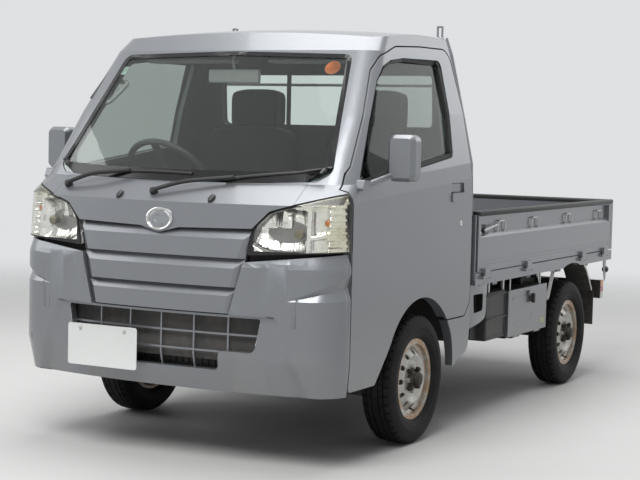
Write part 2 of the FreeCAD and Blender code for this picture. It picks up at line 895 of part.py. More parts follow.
def air_grid():
    """the opening's wall and the bars set back in it"""
    outline = air_opening()
    hole = prism_y(outline, -s.front_overhang - s.overrun, -s.door_front)
    wall = prism_y(grown(outline, s.grille_bar), -s.front_overhang - s.overrun, -s.door_front)
    back = s.grille_setback + s.grille_bar
    frame = layer(s.bumper_recess, back).common(wall.cut(hole))
    bars = []
    row = (s.grille_high - s.grille_low) / 3
    pitch = 2 * s.grille_half / AIR_COLUMNS
    nose = -s.front_overhang - s.overrun
    for i in range(1, AIR_COLUMNS):
        x = pitch * i - s.grille_half
        bars.append(cuboid((x - s.grille_bar / 2, nose, s.grille_low), (x + s.grille_bar / 2, 0, s.grille_high)))
    for i in (1, 2):
        z = s.grille_low + row * i
        bars.append(cuboid((-s.grille_half, nose, z - s.grille_bar / 2), (s.grille_half, 0, z + s.grille_bar / 2)))
    grid = bars[0].fuse(bars[1:]).common(wall)
    return frame.fuse(layer(s.grille_setback, back).common(grid))


AIR_COLUMNS = 6
RECESS_OUTER_SHARES = ((0.8750, 0.1400), (0.6790, 0.3395))
RECESS_INNER_SHARES = ((0.7900, 0.1400), (0.6560, 0.3395))
SHOULDER_SHARES = (0.4460, 0.4880)
CREASE_SHARES = ((0.7520, 0.3659), (1.0000, 0.4257), (1.0000, 0.3693))


def bumper_recess():
    """the sunk field around the air opening, with slanted walls at its ends"""
    inner = [(s.half_width * a, s.cab_roof * b, 0) for a, b in RECESS_INNER_SHARES]
    field = prism_y(mirrored(inner), -s.front_overhang - s.overrun, 0)
    cuts = [field.cut(cab_form(s.bumper_recess))]
    ends = []
    for (out, z), (near, same) in zip(RECESS_OUTER_SHARES, RECESS_INNER_SHARES):
        high = s.cab_roof * z
        look = max(high, s.bumper_low)
        edge = front_point(s.half_width * out, look, 0)
        foot = front_point(s.half_width * near, look, -s.bumper_recess)
        ahead = Vector(0, -s.overrun, 0)
        corners = [Vector(p.x, p.y, high) for p in (edge, foot, foot + ahead, edge + ahead, edge)]
        ends.append(Part.makePolygon(corners))
    wedge = Part.makeLoft(ends, True, True)
    return cuts + [wedge, flipped(wedge)]


def shoulder():
    """what the bumper's top edge loses where it leans back under the lamps"""
    low, high = SHOULDER_SHARES
    lean = Part.makeLoft([plan_between(low, 0), plan_between(high, s.bumper_lean)], True, True)
    far = s.half_width + s.overrun
    return cuboid((-far, -s.front_overhang - s.overrun, s.cab_roof * low), (far, 0, s.cab_roof * high)).cut(lean)


def side_crease():
    """a folded dent that widens from the bumper's corner towards the wheel"""
    apex, high, low = [(s.half_width * a, s.cab_roof * b) for a, b in CREASE_SHARES]
    tip = front_point(apex[0], apex[1], 0)
    edge = -s.door_front - s.panel_gap
    top = Vector(s.half_width, edge, high[1])
    under = Vector(s.half_width, edge, low[1])
    deep = (top + under) / 2 - Vector(s.crease_depth, 0, 0)
    run = deep - tip
    start = tip - run / 4
    reach = 3
    corners = [start, start + (top - deep) * reach, start + (under - deep) * reach, start]
    return Part.Face(Part.makePolygon(corners)).extrude(run * (5 / 4 + 1 / 4))


def make_bumper():
    whole = skin_piece(mirrored(front_outline(BUMPER_SHARES)), s.bumper_skin, (-0.85, 0.85),
                       s.cab_roof * 0.30, s.cab_roof * 0.40)
    hole = prism_y(air_opening(), -s.front_overhang - s.overrun, -s.door_front)
    low = cuboid((-s.half_width * 2, -s.front_overhang * 2, 0), (s.half_width * 2, 0, s.bumper_low))
    crease = side_crease()
    whole = whole.cut(bumper_recess() + [shoulder(), crease, flipped(crease), hole, low])
    return largest(whole.fuse(air_grid()))


node("front_bumper", solid("FrontBumper", make_bumper()))


def make_lamp(side):
    """a bowl behind the lens, open to the front, its back on the bulkhead"""
    outline = front_outline(LAMP_SHARES)
    rim = grown(outline, -s.seam_gap)
    face = s.glass_inset + s.lens_thick + s.seat_clear
    bowl = layer(face, s.bulkhead_depth - s.seat_clear).common(front_zone(rim))
    hollow = layer(0, s.bulkhead_depth - s.lamp_wall).common(front_zone(grown(rim, -s.lamp_wall)))
    ahead = cuboid((0, -s.front_overhang * 2, 0), (s.half_width * 2, -s.door_front - s.skin, s.cab_roof))
    bowl = largest(bowl.cut(hollow.common(ahead)))
    lens = largest(layer(s.glass_inset, s.glass_inset + s.lens_thick).common(front_zone(rim)))
    return on_side(bowl, side), on_side(lens, side)


bowls = []
lenses = []
for side in (1, -1):
    bowl, lens = make_lamp(side)
    bowls.append(solid("LampBowl", bowl))
    lenses.append(solid("LampLens", lens))
node("headlamp_bowls", gathered("LampBowls", bowls))
node("headlamp_lenses", gathered("LampLenses", lenses))


# Doors with their panes and mirrors
HINGE_HEIGHT_SHARES = (0.3000, 0.5200)
hinge_x = s.half_width - s.hinge_inset
hinge_y = s.hinge_back - s.door_front


def hinge_pocket(share):
    """the room behind a door's skin for one hinge arm, and the bore for its pin"""
    low = s.cab_roof * share - s.hinge_tall / 2
    far = s.hinge_pin + s.hinge_room
    room = cuboid((s.half_width - s.door_thick * 2, -s.door_front * 2, low),
                  (hinge_x + far, hinge_y + far, low + s.hinge_tall))
    bore = Part.makeCylinder(s.hinge_pin + s.hinge_room / 2, s.hinge_tall + 2 * s.hinge_pin_reach,
                             Vector(hinge_x, hinge_y, low - s.hinge_pin_reach))
    return room.fuse(bore)


def hinge_arm(share):
    """a fixed arm from the bulkhead to the hinge line, with the pin that carries a door"""
    low = s.cab_roof * share - s.hinge_tall / 2 + s.seat_clear
    high = low + s.hinge_tall - 2 * s.seat_clear
    root = s.half_width - s.bulkhead_depth
    foot = cuboid((root - s.bulkhead_thick, hinge_y - s.bulkhead_thick, low),
                  (root, hinge_y + s.hinge_pin, high)).common(cab_form(s.bulkhead_depth))
    arm = cuboid((root - s.bulkhead_thick, hinge_y - s.hinge_pin, low), (hinge_x, hinge_y + s.hinge_pin, high))
    reach = s.hinge_pin_reach - s.hinge_room
    barrel = Part.makeCylinder(s.hinge_pin, high - low + 2 * reach, Vector(hinge_x, hinge_y, low - reach))
    return foot.fuse([arm, barrel])


def make_door():
    body = layer(0, s.door_thick).common(left_cutter(door_outline(DOOR_SHARES)))
    body = body.common(side_zone(s.door_thick))
    rebate = left_cutter(grown(door_outline(DOOR_SHARES), s.overrun / 2))
    rebate = rebate.cut(left_cutter(grown(door_outline(DOOR_SHARES), -s.door_step)))
    body = body.cut(layer(s.skin, s.door_thick + s.overrun / 2).common(rebate))
    window = door_outline(WINDOW_SHARES)
    body = largest(body.cut([arch_cylinder(0)] + [hinge_pocket(share) for share in HINGE_HEIGHT_SHARES]))
    pane_in = s.door_glass_depth
    pane_out = pane_in + s.glass_thick + s.seat_clear
    outside = left_cutter(grown(window, s.seat_clear))
    through = left_cutter(grown(window, -s.glass_lap))
    body = body.cut(layer(-s.overrun / 4, pane_out).common(outside).fuse(through))
    cup = layer(-s.overrun / 4, s.handle_room).common(left_cutter(door_outline(HANDLE_CUP_SHARES)))
    grip = layer(-s.handle_out, s.skin).common(left_cutter(door_outline(HANDLE_GRIP_SHARES)))
    body = body.cut(cup).fuse(grip)
    pane = cab_form(pane_in).common(left_cutter(window)).cut(cab_form(pane_in + s.glass_thick))
    pane = largest(pane)
    return largest(body), pane


door, pane = make_door()


MIRROR_FOOT_SHARES = ((0.0380, 0.5700, 0.006), (0.1350, 0.5810, 0.006), (0.1300, 0.5960, 0.006), (0.0520, 0.6020, 0.010))


def mirror_parts():
    """a housing on an arm that stands on the belt at the window's low front corner, for the left door"""
    y = s.mirror_back
    x = s.half_width + s.mirror_arm * 2
    low = s.mirror_low
    corner = s.mirror_corner
    outline = [(x, low, corner), (x + s.mirror_width, low, corner),
               (x + s.mirror_width, low + s.mirror_height, corner), (x, low + s.mirror_height, corner)]
    small = grown(outline, -s.mirror_edge)

    def ring(points, back):
        return rounded_wire(points, lambda p: Vector(p.x, back, p.y))

    house = Part.makeLoft([ring(small, y), ring(outline, y + s.mirror_edge * 1.6),
                           ring(outline, y + s.mirror_depth)], True, True)
    foot = prism_x(door_outline(MIRROR_FOOT_SHARES), s.half_width / 2, s.half_width + s.mirror_arm)
    root = foot.BoundBox.Center
    arm = swept([Vector(s.half_width, root.y, root.z),
                 Vector(x + corner, y + s.mirror_depth / 2, low + corner)], s.mirror_arm)
    stand = foot.fuse(arm).cut(cab_form(-s.seat_clear))
    return largest(house.fuse(stand).removeSplitter())


mirror = mirror_parts()
for side, word in ((1, "left"), (-1, "right")):
    node("door_" + word, solid("Door", on_side(door, side)))
    node("door_glass_" + word, solid("DoorGlass", on_side(pane, side)))
    node("mirror_" + word, solid("Mirror", on_side(mirror, side)))


# Cab floor, bulkhead, wheel houses and seat base
def make_cab_floor():
    half = s.cabin_half
    thick = s.cab_floor_thick
    nose = -s.front_overhang - s.overrun
    low = s.cab_floor_low
    riser = -s.wheel_house_front
    lid = s.wheel_house_top + thick
    inside = cab_form(s.bulkhead_depth)
    deeper = cab_form(s.bulkhead_depth + s.bulkhead_thick)
    parts = []
    parts.append(cuboid((-half, nose, low), (half, riser, low + thick)).common(inside))
    bulkhead = inside.cut(deeper).common(
        cuboid((-half, nose, low), (half, -s.door_front - s.panel_gap, s.cab_roof * 0.595)))
    parts.append(bulkhead)
    parts.append(cuboid((-half, riser - thick, low), (half, riser, lid)))
    parts.append(cuboid((-half, riser - thick, s.wheel_house_top), (half, s.cab_back - s.cab_wall, lid)))
    base = cuboid((-half, s.seat_base_front, lid - thick),
                  (half, s.cab_back - s.cab_wall - thick, lid + s.seat_base_height))
    parts.append(base)
    for side in (1, -1):
        wall = cuboid((s.wheel_house_inner - thick, riser - thick, low),
                      (s.wheel_house_inner, s.cab_back - s.cab_wall, s.wheel_house_top + thick / 2))
        parts.append(on_side(wall, side))
        rear = cuboid((s.wheel_house_inner - thick, s.arch_radius, low),
                      (half, s.arch_radius + thick, s.wheel_house_top + thick / 2))
        parts.append(on_side(rear, side))
    floor = parts[0].fuse(parts[1:]).removeSplitter()
    floor = floor.common(cab_form(s.cab_wall + s.seat_clear))
    door_room = layer(0, s.door_thick + s.panel_gap)
    for side in (1, -1):
        room = door_room.common(left_cutter(door_opening())).common(side_zone(s.door_thick + s.panel_gap))
        floor = floor.cut(on_side(room, side))
        floor = floor.fuse([on_side(hinge_arm(share), side) for share in HINGE_HEIGHT_SHARES])
    return floor


node("cab_floor", solid("CabFloor", largest(make_cab_floor())))


# Seats
def make_seat(middle):
    top = s.wheel_house_top + s.cab_floor_thick + s.seat_base_height + s.seat_clear
    half = s.seat_width / 2
    back = s.seat_back_y
    cushion = prism_x([
        (back - s.seat_length, top, 20), (back - s.seat_clear, top, 0),
        (back - s.seat_clear, top + s.cushion_thick, 0), (back - s.seat_length, top + s.cushion_thick, 40)],
        middle - half, middle + half)
    lean = s.back_height * 0.08
    rest = prism_x([
        (back - s.back_thick - lean, top + s.cushion_thick / 2, 0), (back - lean, top + s.cushion_thick / 2, 0),
        (back, top + s.back_height, 30), (back - s.back_thick, top + s.back_height, 30)],
        middle - half, middle + half)
    head = s.headrest_width / 2
    high = top + s.back_height
    pillow = prism_x([
        (back - s.back_thick * 0.8, high - s.cushion_thick / 2, 0), (back, high - s.cushion_thick / 2, 0),
        (back, high + s.headrest_height, 30), (back - s.back_thick * 0.8, high + s.headrest_height, 30)],
        middle - head, middle + head)
    return cushion.fuse([rest, pillow]).removeSplitter()


seats = []
for middle in (-s.seat_offset, s.seat_offset):
    seats.append(solid("Seat", make_seat(middle)))
node("seats", gathered("Seats", seats))


# Dashboard with the column's shroud, and the steering wheel
column_way = Vector(0, math.cos(math.radians(s.steer_tilt)), math.sin(math.radians(s.steer_tilt)))
wheel_middle = Vector(s.steer_x, s.steer_y, s.steer_z)


def make_dash():
    half = s.dash_half
    face = prism_x([
        (-s.dash_front, s.dash_low, 30), (-s.dash_back - 40, s.dash_low, 30),
        (-s.dash_back, s.dash_high - 60, 30), (-s.dash_back - 60, s.dash_high, 40),
        (-s.dash_front, s.dash_high, 30)], -half, half)
    face = face.common(cab_form(s.bulkhead_depth + s.bulkhead_thick + s.seat_clear))
    foot = wheel_middle - column_way * s.column_length
    tube = Part.makeCylinder(s.column_radius * 1.6, s.column_length * 0.75, foot, column_way)
    return largest(face.fuse(tube))


node("dashboard", solid("Dashboard", make_dash()))


def make_steering_wheel():
    rim = Part.makeTorus(s.steer_radius, s.steer_rim, wheel_middle, column_way)
    shaft_foot = wheel_middle - column_way * (s.column_length * 0.25 - s.seat_clear)
    boss = Part.makeCylinder(s.column_radius * 2, s.column_length * 0.25, shaft_foot, column_way)
    parts = [boss]
    spoke_half = s.steer_rim * 1.2
    for angle in (0, 180, 270):
        spoke = cuboid((0, -spoke_half, -s.steer_rim / 2), (s.steer_radius, spoke_half, s.steer_rim / 2))
        spoke.rotate(Vector(), Vector(0, 0, 1), angle)
        spoke.rotate(Vector(), Vector(1, 0, 0), -(90 - s.steer_tilt))
        spoke.translate(wheel_middle)
        parts.append(spoke)
    return rim.fuse(parts).removeSplitter()


node("steering_wheel", solid("SteeringWheel", largest(make_steering_wheel())))


# Wipers, laid along the foot of the windscreen
WIPER_SHARES = (
    (-0.58, 0.6100, 0.02, 0.6370),
    (-0.06, 0.5990, 0.70, 0.6400),
)


def make_wiper(start_x, start_z, end_x, end_z):
    lift = s.wiper_lift
    steps = 5
    points = []
    for i in range(steps + 1):
        share = i / steps
        x = s.half_width * (start_x + (end_x - start_x) * share)
        z = s.cab_roof * (start_z + (end_z - start_z) * math.sqrt(share))
        points.append(front_point(x, z, lift))
    arm = swept(points, s.wiper_width / 2)
    foot = points[0]
    pivot = Part.makeCylinder(s.wiper_width, lift + s.wiper_width / 2,
                              foot - Vector(0, s.wiper_width / 2, 0), Vector(0, 1, 0))
    return arm.fuse(pivot).cut(cab_form(-s.seat_clear))


wipers = []
for places in WIPER_SHARES:
    wipers.append(solid("Wiper", largest(make_wiper(*places))))
node("wipers", gathered("Wipers", wipers))


# Wheels: profiles are (across, radius, corner) on a wheel centred at the origin, outboard side at +X
def body_with(name, outline):
    """a body whose first feature is a profile turned about its X axis"""
    body = doc.addObject("PartDesign::Body", name)
    sketch = body.newObject("Sketcher::SketchObject", name + "Profile")
    sketch.AttachmentSupport = [(origin_plane(body, "XY_Plane"), "")]
    sketch.MapMode = "FlatFace"
    draw(sketch, rounded_wire(outline, lambda p: p))
    doc.recompute()
    turned = body.newObject("PartDesign::Revolution", name + "Turned")
    turned.Profile = sketch
    turned.ReferenceAxis = (sketch, ["H_Axis"])
    turned.Angle = 360
    doc.recompute()
    return body


def origin_plane(body, role):
    return [plane for plane in body.Origin.OriginFeatures if plane.Role == role][0]


def draw(sketch, wire):
    """a wire's lines and arcs as sketch geometry"""
    for edge in wire.Edges:
        start = edge.valueAt(edge.FirstParameter)
        end = edge.valueAt(edge.LastParameter)
        if edge.Curve.TypeId == "Part::GeomLine":
            sketch.addGeometry(Part.LineSegment(start, end), False)
            continue
        middle = edge.valueAt((edge.FirstParameter + edge.LastParameter) / 2)
        sketch.addGeometry(Part.Arc(start, middle, end), False)


def ring_of(body, name, kind, centre_radius, radius, depth, count):
    """equal round pads or pockets on a circle about the wheel's axis"""
    sketch = body.newObject("Sketcher::SketchObject", name + "Circle")
    sketch.AttachmentSupport = [(origin_plane(body, "YZ_Plane"), "")]
    sketch.MapMode = "FlatFace"
    sketch.addGeometry(Part.Circle(Vector(centre_radius, 0, 0), Vector(0, 0, 1), radius), False)
    doc.recompute()
    first = body.newObject("PartDesign::" + kind, name)
    first.Profile = sketch
    if kind == "Pad":
        tie(first, Length=depth)
    else:
        first.Type = "ThroughAll"
        first.Midplane = True
    doc.recompute()
    pattern = body.newObject("PartDesign::PolarPattern", name + "Ring")
    pattern.Originals = [first]
    pattern.Axis = (sketch, ["H_Axis"])
    axis = [line for line in body.Origin.OriginFeatures if line.Role == "X_Axis"][0]
    pattern.Axis = (axis, [""])
    pattern.Angle = 360
    pattern.Occurrences = int(count)
    body.Tip = pattern
    doc.recompute()
    return body


def tyre_outline():
    lip = s.rim_width / 2
    seat = lip - s.flange_thick - s.seat_clear
    bead = s.bead_radius + s.seat_clear
    over = s.bead_radius + s.flange_height + s.seat_clear
    bulge = s.tyre_width / 2
    tread = s.tread_width / 2
    rise = s.tyre_radius - over
    right = [(seat, bead, 0), (seat, over, 0), (bulge, over + rise * 0.42, 0), (tread, s.tyre_radius, 0)]
    left = [(-a, b, r) for a, b, r in reversed(right)]
    return right + left


def rim_outline():
    lip = s.rim_width / 2
    seat = lip - s.flange_thick
    bead = s.bead_radius
    top = bead + s.flange_height
    well = bead - s.rim_well
    wall = s.rim_wall
    half = lip * 0.45
    face = s.disc_offset
    hub = s.disc_hub_radius
    crest = face + s.disc_dome
    thick = s.disc_thick
    bore = s.hub_radius + s.seat_clear
    outer = [
        (lip, top, 0), (seat, top, 0), (seat, bead, 0), (half + s.rim_well / 2, bead, 0), (half, well, 0),
        (-half, well, 0), (-half - s.rim_well / 2, bead, 0), (-seat, bead, 0), (-seat, top, 0), (-lip, top, 0)]
    inner = [
        (-lip, bead - wall, 0), (-half - s.rim_well / 2 - wall / 2, bead - wall, 0),
        (-half - wall / 2, well - wall, 0), (half - thick * 2, well - wall, 0)]
    disc = [
        (crest - thick, hub * 1.32, 8), (face - thick, hub, 6), (face - thick, bore, 0), (face, bore, 0),
        (face, hub, 6), (crest, hub * 1.32, 8), (half + thick * 0.4, well - wall, 0)]
    lead = [(half + wall / 2, well - wall, 0), (half + s.rim_well / 2 + wall / 2, bead - wall, 0),
            (lip, bead - wall, 0)]
    return outer + inner + disc + lead


def make_rim(word):
    body = body_with("Rim" + word, rim_outline())
    ring_of(body, "Hole" + word, "Pocket", s.disc_hole_circle, s.disc_hole_radius, "", s.disc_hole_count)
    ring_of(body, "Nut" + word, "Pad", s.stud_circle_radius, s.nut_radius,
            "disc_offset + nut_height", s.stud_count)
    drum_start = "disc_offset - disc_thick - seat_clear - drum_depth"
    drum = rod("Drum" + word, (drum_start, "0", "0"), "drum_radius", "drum_depth", "X")
    hub = rod("Hub" + word, (drum_start, "0", "0"), "hub_radius",
              "drum_depth + disc_thick + hub_height", "X")
    bore = rod("Bore" + word, (drum_start, "0", "0"), "axle_stub_radius + seat_clear",
               "drum_depth + seat_clear", "X")
    turned = carved("HubBored" + word, joined("HubDrum" + word, [drum, hub]), bore)
    return gathered("RimHub" + word, [body, turned])


WHEELS = (
    ("front_left", "track_front_half", "0", 0),
    ("front_right", "-track_front_half", "0", 180),
    ("rear_left", "track_rear_half", "wheelbase", 0),
    ("rear_right", "-track_rear_half", "wheelbase", 180),
)
for word, x, y, turn in WHEELS:
    tyre = body_with("Tyre" + word, tyre_outline())
    node("tyre_" + word, tyre, (x, y, "tyre_radius"), turn)
    node("rim_" + word, make_rim(word), (x, y, "tyre_radius"), turn)


# Knuckles with struts, and the parts of the front suspension that stay with the chassis
kingpin = "(track_front_half - kingpin_offset)"
base = "(tyre_radius - upright_height / 2)"
drum_back = "(track_front_half + disc_offset - disc_thick - seat_clear - drum_depth)"
stub_reach = "%s - %s + drum_depth - seat_clear"
for side, word in ((1, "left"), (-1, "right")):
    upright = side_block("Upright" + word, side, kingpin + " - upright_width / 2", "-upright_length / 2",
                         base, ("upright_width", "upright_length", "upright_height"))
    x = kingpin if side > 0 else "-" + kingpin
    strut = rod("Strut" + word, (x, "0", base), "strut_radius", "strut_top - " + base, "Z")
    seat = rod("SpringSeat" + word, (x, "0", "tyre_radius * 2 + spring_seat_thick"),
               "spring_seat_radius - spring_seat_thick / 2", "spring_seat_thick", "Z")
    stub = side_rod("Stub" + word, side, kingpin, "0", "tyre_radius", "axle_stub_radius",
                    stub_reach % (drum_back, kingpin))
    plate = side_rod("BackPlate" + word, side, drum_back + " - 3 * sheet_steel", "0", "tyre_radius",
                     "drum_radius - sheet_steel", "sheet_steel")
    arm = side_block("SteerArm" + word, side, kingpin + " - upright_width / 2", "0",
                     base, ("upright_width", "upright_length / 2 + steer_arm_length", "arm_thick"))
    parts = [upright, strut, seat, stub, plate, arm]
    node("knuckle_" + word, joined("Knuckle" + word, parts))

suspension = [block("FrontCrossmember", ("-arm_inner - overrun / 2", "-crossmember", base + " - arm_thick"),
                    ("2 * arm_inner + overrun", "2 * crossmember", "arm_thick"))]
mounts = []
for side, word in ((1, "left"), (-1, "right")):
    suspension.append(side_block(
        "LowerArm" + word, side, "arm_inner", "-arm_width / 2", base + " - arm_thick",
        (kingpin + " - arm_inner + upright_width / 2", "arm_width", "arm_thick - seat_clear")))
    suspension.append(side_block(
        "ArmPost" + word, side, "rail_inner", "-crossmember / 2", base + " - arm_thick / 2",
        ("rail_width", "crossmember", "rail_base - %s + arm_thick / 2 - seat_clear" % base)))
    x = kingpin if side > 0 else "-" + kingpin
    mounts.append(rod("StrutMount" + word, (x, "0", "strut_top + seat_clear"), "spring_seat_radius",
                      "wheel_house_top - strut_top - seat_clear", "Z"))
rack_y = "upright_length / 2 + steer_arm_length + 2 * tie_rod_radius + panel_gap"
rack = rod("Rack", ("-arm_inner", rack_y, base + " + arm_thick / 2"), "tie_rod_radius", "2 * arm_inner", "X")
rack_posts = []
for side, word in ((1, "left"), (-1, "right")):
    rack_posts.append(side_block(
        "RackPost" + word, side, "rail_inner", rack_y + " - tie_rod_radius", base + " + arm_thick / 2",
        ("tie_rod_radius * 2", "tie_rod_radius * 2", "rail_base - %s - arm_thick / 2 - seat_clear" % base)))
node("front_suspension", gathered("FrontSuspension", [
    joined("FrontArms", suspension), joined("SteeringRack", [rack] + rack_posts)] + mounts))


# Chassis: two rails that drop under the footwell, crossmembers and brackets
def rail_outline():
    low = s.rail_front_base
    kick = -s.wheel_house_front + s.cab_floor_thick * 1.5
    run = s.rail_base - low
    end = s.rail_rear_end
    tall = s.rail_height
    return [
        (-s.rail_front_end, low, 0), (kick, low, 60), (kick + run, s.rail_base, 60), (end, s.rail_base, 0),
        (end, s.rail_base + tall, 0), (kick + run - tall * 0.3, s.rail_base + tall, 60),
        (kick - tall * 0.3, low + tall, 60), (-s.rail_front_end, low + tall, 0)]


rails = []
for side, word in ((1, "left"), (-1, "right")):
    rail = prism_x(rail_outline(), s.rail_inner, s.rail_inner + s.rail_width)
    rails.append(solid("Rail" + word, on_side(rail, side)))
CROSSMEMBER_SHARES = (0.0000, 0.4000, 0.6400, 0.9900)
for i, share in enumerate(CROSSMEMBER_SHARES):
    place = "rail_rear_end * %s - crossmember" % share
    rails.append(block("Crossmember%d" % i, ("-rail_inner", place, "rail_base + sheet_steel"),
                       ("2 * rail_inner", "crossmember", "rail_height - 2 * sheet_steel")))
rails.append(block("FrontBar", ("-rail_inner", "-rail_front_end", "rail_front_base + sheet_steel"),
                   ("2 * rail_inner", "crossmember", "rail_height - 2 * sheet_steel")))
spring_end = "spring_span / 2"
spring_low = "(tyre_radius + axle_tube_radius + seat_clear)"
spring_tip = "(%s + spring_rise + spring_stack + seat_clear)" % spring_low
for side, word in ((1, "left"), (-1, "right")):
    outer = "rail_inner + rail_width"
    for i, way in enumerate(("-", "+")):
        place = "wheelbase %s %s - crossmember / 4" % (way, spring_end)
        rails.append(side_block("SpringHanger%s%d" % (word, i), side, outer, place, spring_tip,
                                ("spring_x + spring_width / 2 - rail_inner - rail_width",
                                 "crossmember / 2", "rail_base + rail_height - %s" % spring_tip)))
    rails.append(side_block("CabMountRear" + word, side, "rail_inner", "cab_back - 2 * crossmember",
                            "rail_base + rail_height",
                            ("rail_width", "crossmember", "wheel_house_top - rail_base - rail_height")))
    rails.append(side_block("CabMountFront" + word, side, "rail_inner", "-rail_front_end",
                            "rail_front_base + rail_height",
                            ("rail_width", "crossmember", "cab_floor_low - rail_front_base - rail_height")))
lamp_bar = block("LampBar", ("-bed_inner_half + panel_gap", "rail_rear_end - 2 * skin", "rail_base"),
                 ("2 * bed_inner_half - 2 * panel_gap", "skin", "rail_height"))
rails.append(lamp_bar)
node("chassis_frame", joined("Chassis", rails))

# Engine with gearbox, rear axle with propeller shaft, springs
engine = block("Engine", ("-engine_half", "engine_front", "engine_low"),
               ("2 * engine_half", "engine_length", "engine_height"))
gearbox = rod("Gearbox", ("0", "engine_front + engine_length - sheet_steel", "engine_low + gearbox_radius"),
              "gearbox_radius", "gearbox_length", "Y")
engine_arms = block("EngineMounts", ("-rail_inner", "engine_front + crossmember", "rail_base"),
                    ("2 * rail_inner", "crossmember", "rail_height / 2"))
node("engine_block", joined("EngineGearbox", [engine, gearbox, engine_arms]))

axle_back = "(track_rear_half + disc_offset - disc_thick - seat_clear - drum_depth)"
axle_parts = [
    rod("AxleTube", ("-(%s - 3 * sheet_steel)" % axle_back, "wheelbase", "tyre_radius"), "axle_tube_radius",
        "2 * (%s - 3 * sheet_steel)" % axle_back, "X"),
    rod("Stubs", ("-(%s + drum_depth - seat_clear)" % axle_back, "wheelbase", "tyre_radius"),
        "axle_stub_radius", "2 * (%s + drum_depth - seat_clear)" % axle_back, "X"),
    rod("Differential", ("-diff_radius * 0.8", "wheelbase", "tyre_radius"), "diff_radius",
        "diff_radius * 1.6", "X"),
]
for side, word in ((1, "left"), (-1, "right")):
    axle_parts.append(side_rod("RearPlate" + word, side, axle_back + " - 3 * sheet_steel", "wheelbase",
                               "tyre_radius", "drum_radius - sheet_steel", "sheet_steel"))
shaft_start = Vector(0, s.engine_front + s.engine_length + s.gearbox_length - s.sheet_steel,
                     s.engine_low + s.gearbox_radius)
shaft = swept([shaft_start, Vector(0, s.wheelbase, s.tyre_radius)], s.shaft_radius)
gear_end = cuboid((-s.gearbox_radius, 0, 0), (s.gearbox_radius, shaft_start.y + s.seat_clear, s.cab_roof))
axle_parts.append(solid("PropShaft", shaft.cut(gear_end)))
node("rear_axle", joined("RearAxle", axle_parts))


def make_spring(side):
    """a leaf pack as one arched band on the axle"""
    low = s.tyre_radius + s.axle_tube_radius + s.seat_clear
    middle = s.wheelbase
    half = s.spring_span / 2
    rise = s.spring_rise

    def band_arc(lift):
        start = Vector(0, middle - half, low + rise + lift)
        end = Vector(0, middle + half, low + rise + lift)
        return Part.Arc(start, Vector(0, middle, low + lift), end).toShape(), start, end

    under, a, b = band_arc(0)
    over, c, d = band_arc(s.spring_stack)
    wire = Part.Wire([under, Part.LineSegment(b, d).toShape(), over, Part.LineSegment(c, a).toShape()])
    band = Part.Face(wire).extrude(Vector(s.spring_width, 0, 0))
    band.translate(Vector(s.spring_x - s.spring_width / 2, 0, 0))
    return on_side(band, side)


node("leaf_springs", gathered("LeafSprings", [solid("Spring", make_spring(side)) for side in (1, -1)]))

# Exhaust between the rails
pipe_x = s.rail_inner / 2
pipe_y = s.engine_front + s.engine_length
pipe_z = s.engine_low + s.pipe_radius * 2
over_axle = s.tyre_radius + s.axle_tube_radius + s.pipe_radius + 2 * s.panel_gap
muffler_start = s.wheelbase + s.diff_radius
pipe = swept([
    Vector(pipe_x, pipe_y, pipe_z), Vector(pipe_x, s.wheelbase * 0.85, pipe_z),
    Vector(pipe_x, s.wheelbase * 0.95, over_axle), Vector(pipe_x, muffler_start + s.pipe_radius, over_axle)],
    s.pipe_radius)
muffler = Part.makeCylinder(s.muffler_radius, s.muffler_length,
                            Vector(pipe_x, muffler_start, over_axle), Vector(0, 1, 0))
tail_start = Vector(pipe_x, muffler_start + s.muffler_length - s.sheet_steel, over_axle)
tail = swept([tail_start, tail_start + Vector(0, s.pipe_radius * 4, 0)], s.pipe_radius)
node("exhaust", solid("Exhaust", largest(pipe.fuse([muffler, tail]))))

# Load bed: floor, cross bearers on the rails, side rails with hinge lugs
tail_out = "(length_overall - front_overhang - gate_hinge_out - hinge_radius)"
floor_low = "(bed_floor_top - bed_floor_thick)"
bed = [block("BedFloor", ("-bed_inner_half", "bed_front", floor_low),
             ("2 * bed_inner_half", tail_out + " - bed_front", "bed_floor_thick"))]
bearer_pitch = "(rail_rear_end - bearer_width - bed_front - crossmember) / (bearer_count - 1)"
for i in range(int(s.bearer_count)):
    place = "bed_front + crossmember / 2 + %d * %s" % (i, bearer_pitch)
    bed.append(block("Bearer%d" % i, ("-half_width + bearer_inset", place, floor_low + " - bearer_width"),
                     ("2 * half_width - 2 * bearer_inset", "bearer_width", "bearer_width")))
    for side, word in ((1, "left"), (-1, "right")):
        bed.append(side_block("Post%s%d" % (word, i), side, "rail_inner", place, "rail_base + rail_height",
                              ("rail_width", "bearer_width",
                               "%s - bearer_width - rail_base - rail_height" % floor_low)))
HINGE_SHARES = (0.030, 0.310, 0.735, 0.925)
gate_run = "(%s - tail_thick - panel_gap - gate_front)" % tail_out
for side, word in ((1, "left"), (-1, "right")):
    rail = side_block("BedRail" + word, side, "bed_inner_half", "bed_front", "rail_low",
                      ("half_width - bed_inner_half", tail_out + " - bed_front", "rail_top - rail_low"))
    arch = side_rod("RailArch" + word, side, "bed_inner_half - sheet_steel", "rail_arch_back",
                    "rail_arch_top - rail_arch_radius", "rail_arch_radius", "overrun")
    bed.append(carved("BedRailCut" + word, rail, arch))
    for i, share in enumerate(HINGE_SHARES):
        for j, way in enumerate((0, 1)):
            place = "gate_front + %s * %s + %d * (hinge_length + seat_clear) - (1 - %d) * hinge_length / 3" % (
                gate_run, share, way, way)
            bed.append(side_block(
                "Lug%s%d%d" % (word, i, j), side, "half_width - sheet_steel", place,
                "gate_hinge_height - hinge_radius",
                ("gate_hinge_out + sheet_steel + hinge_radius", "hinge_length / 3 - seat_clear",
                 "2 * hinge_radius")))
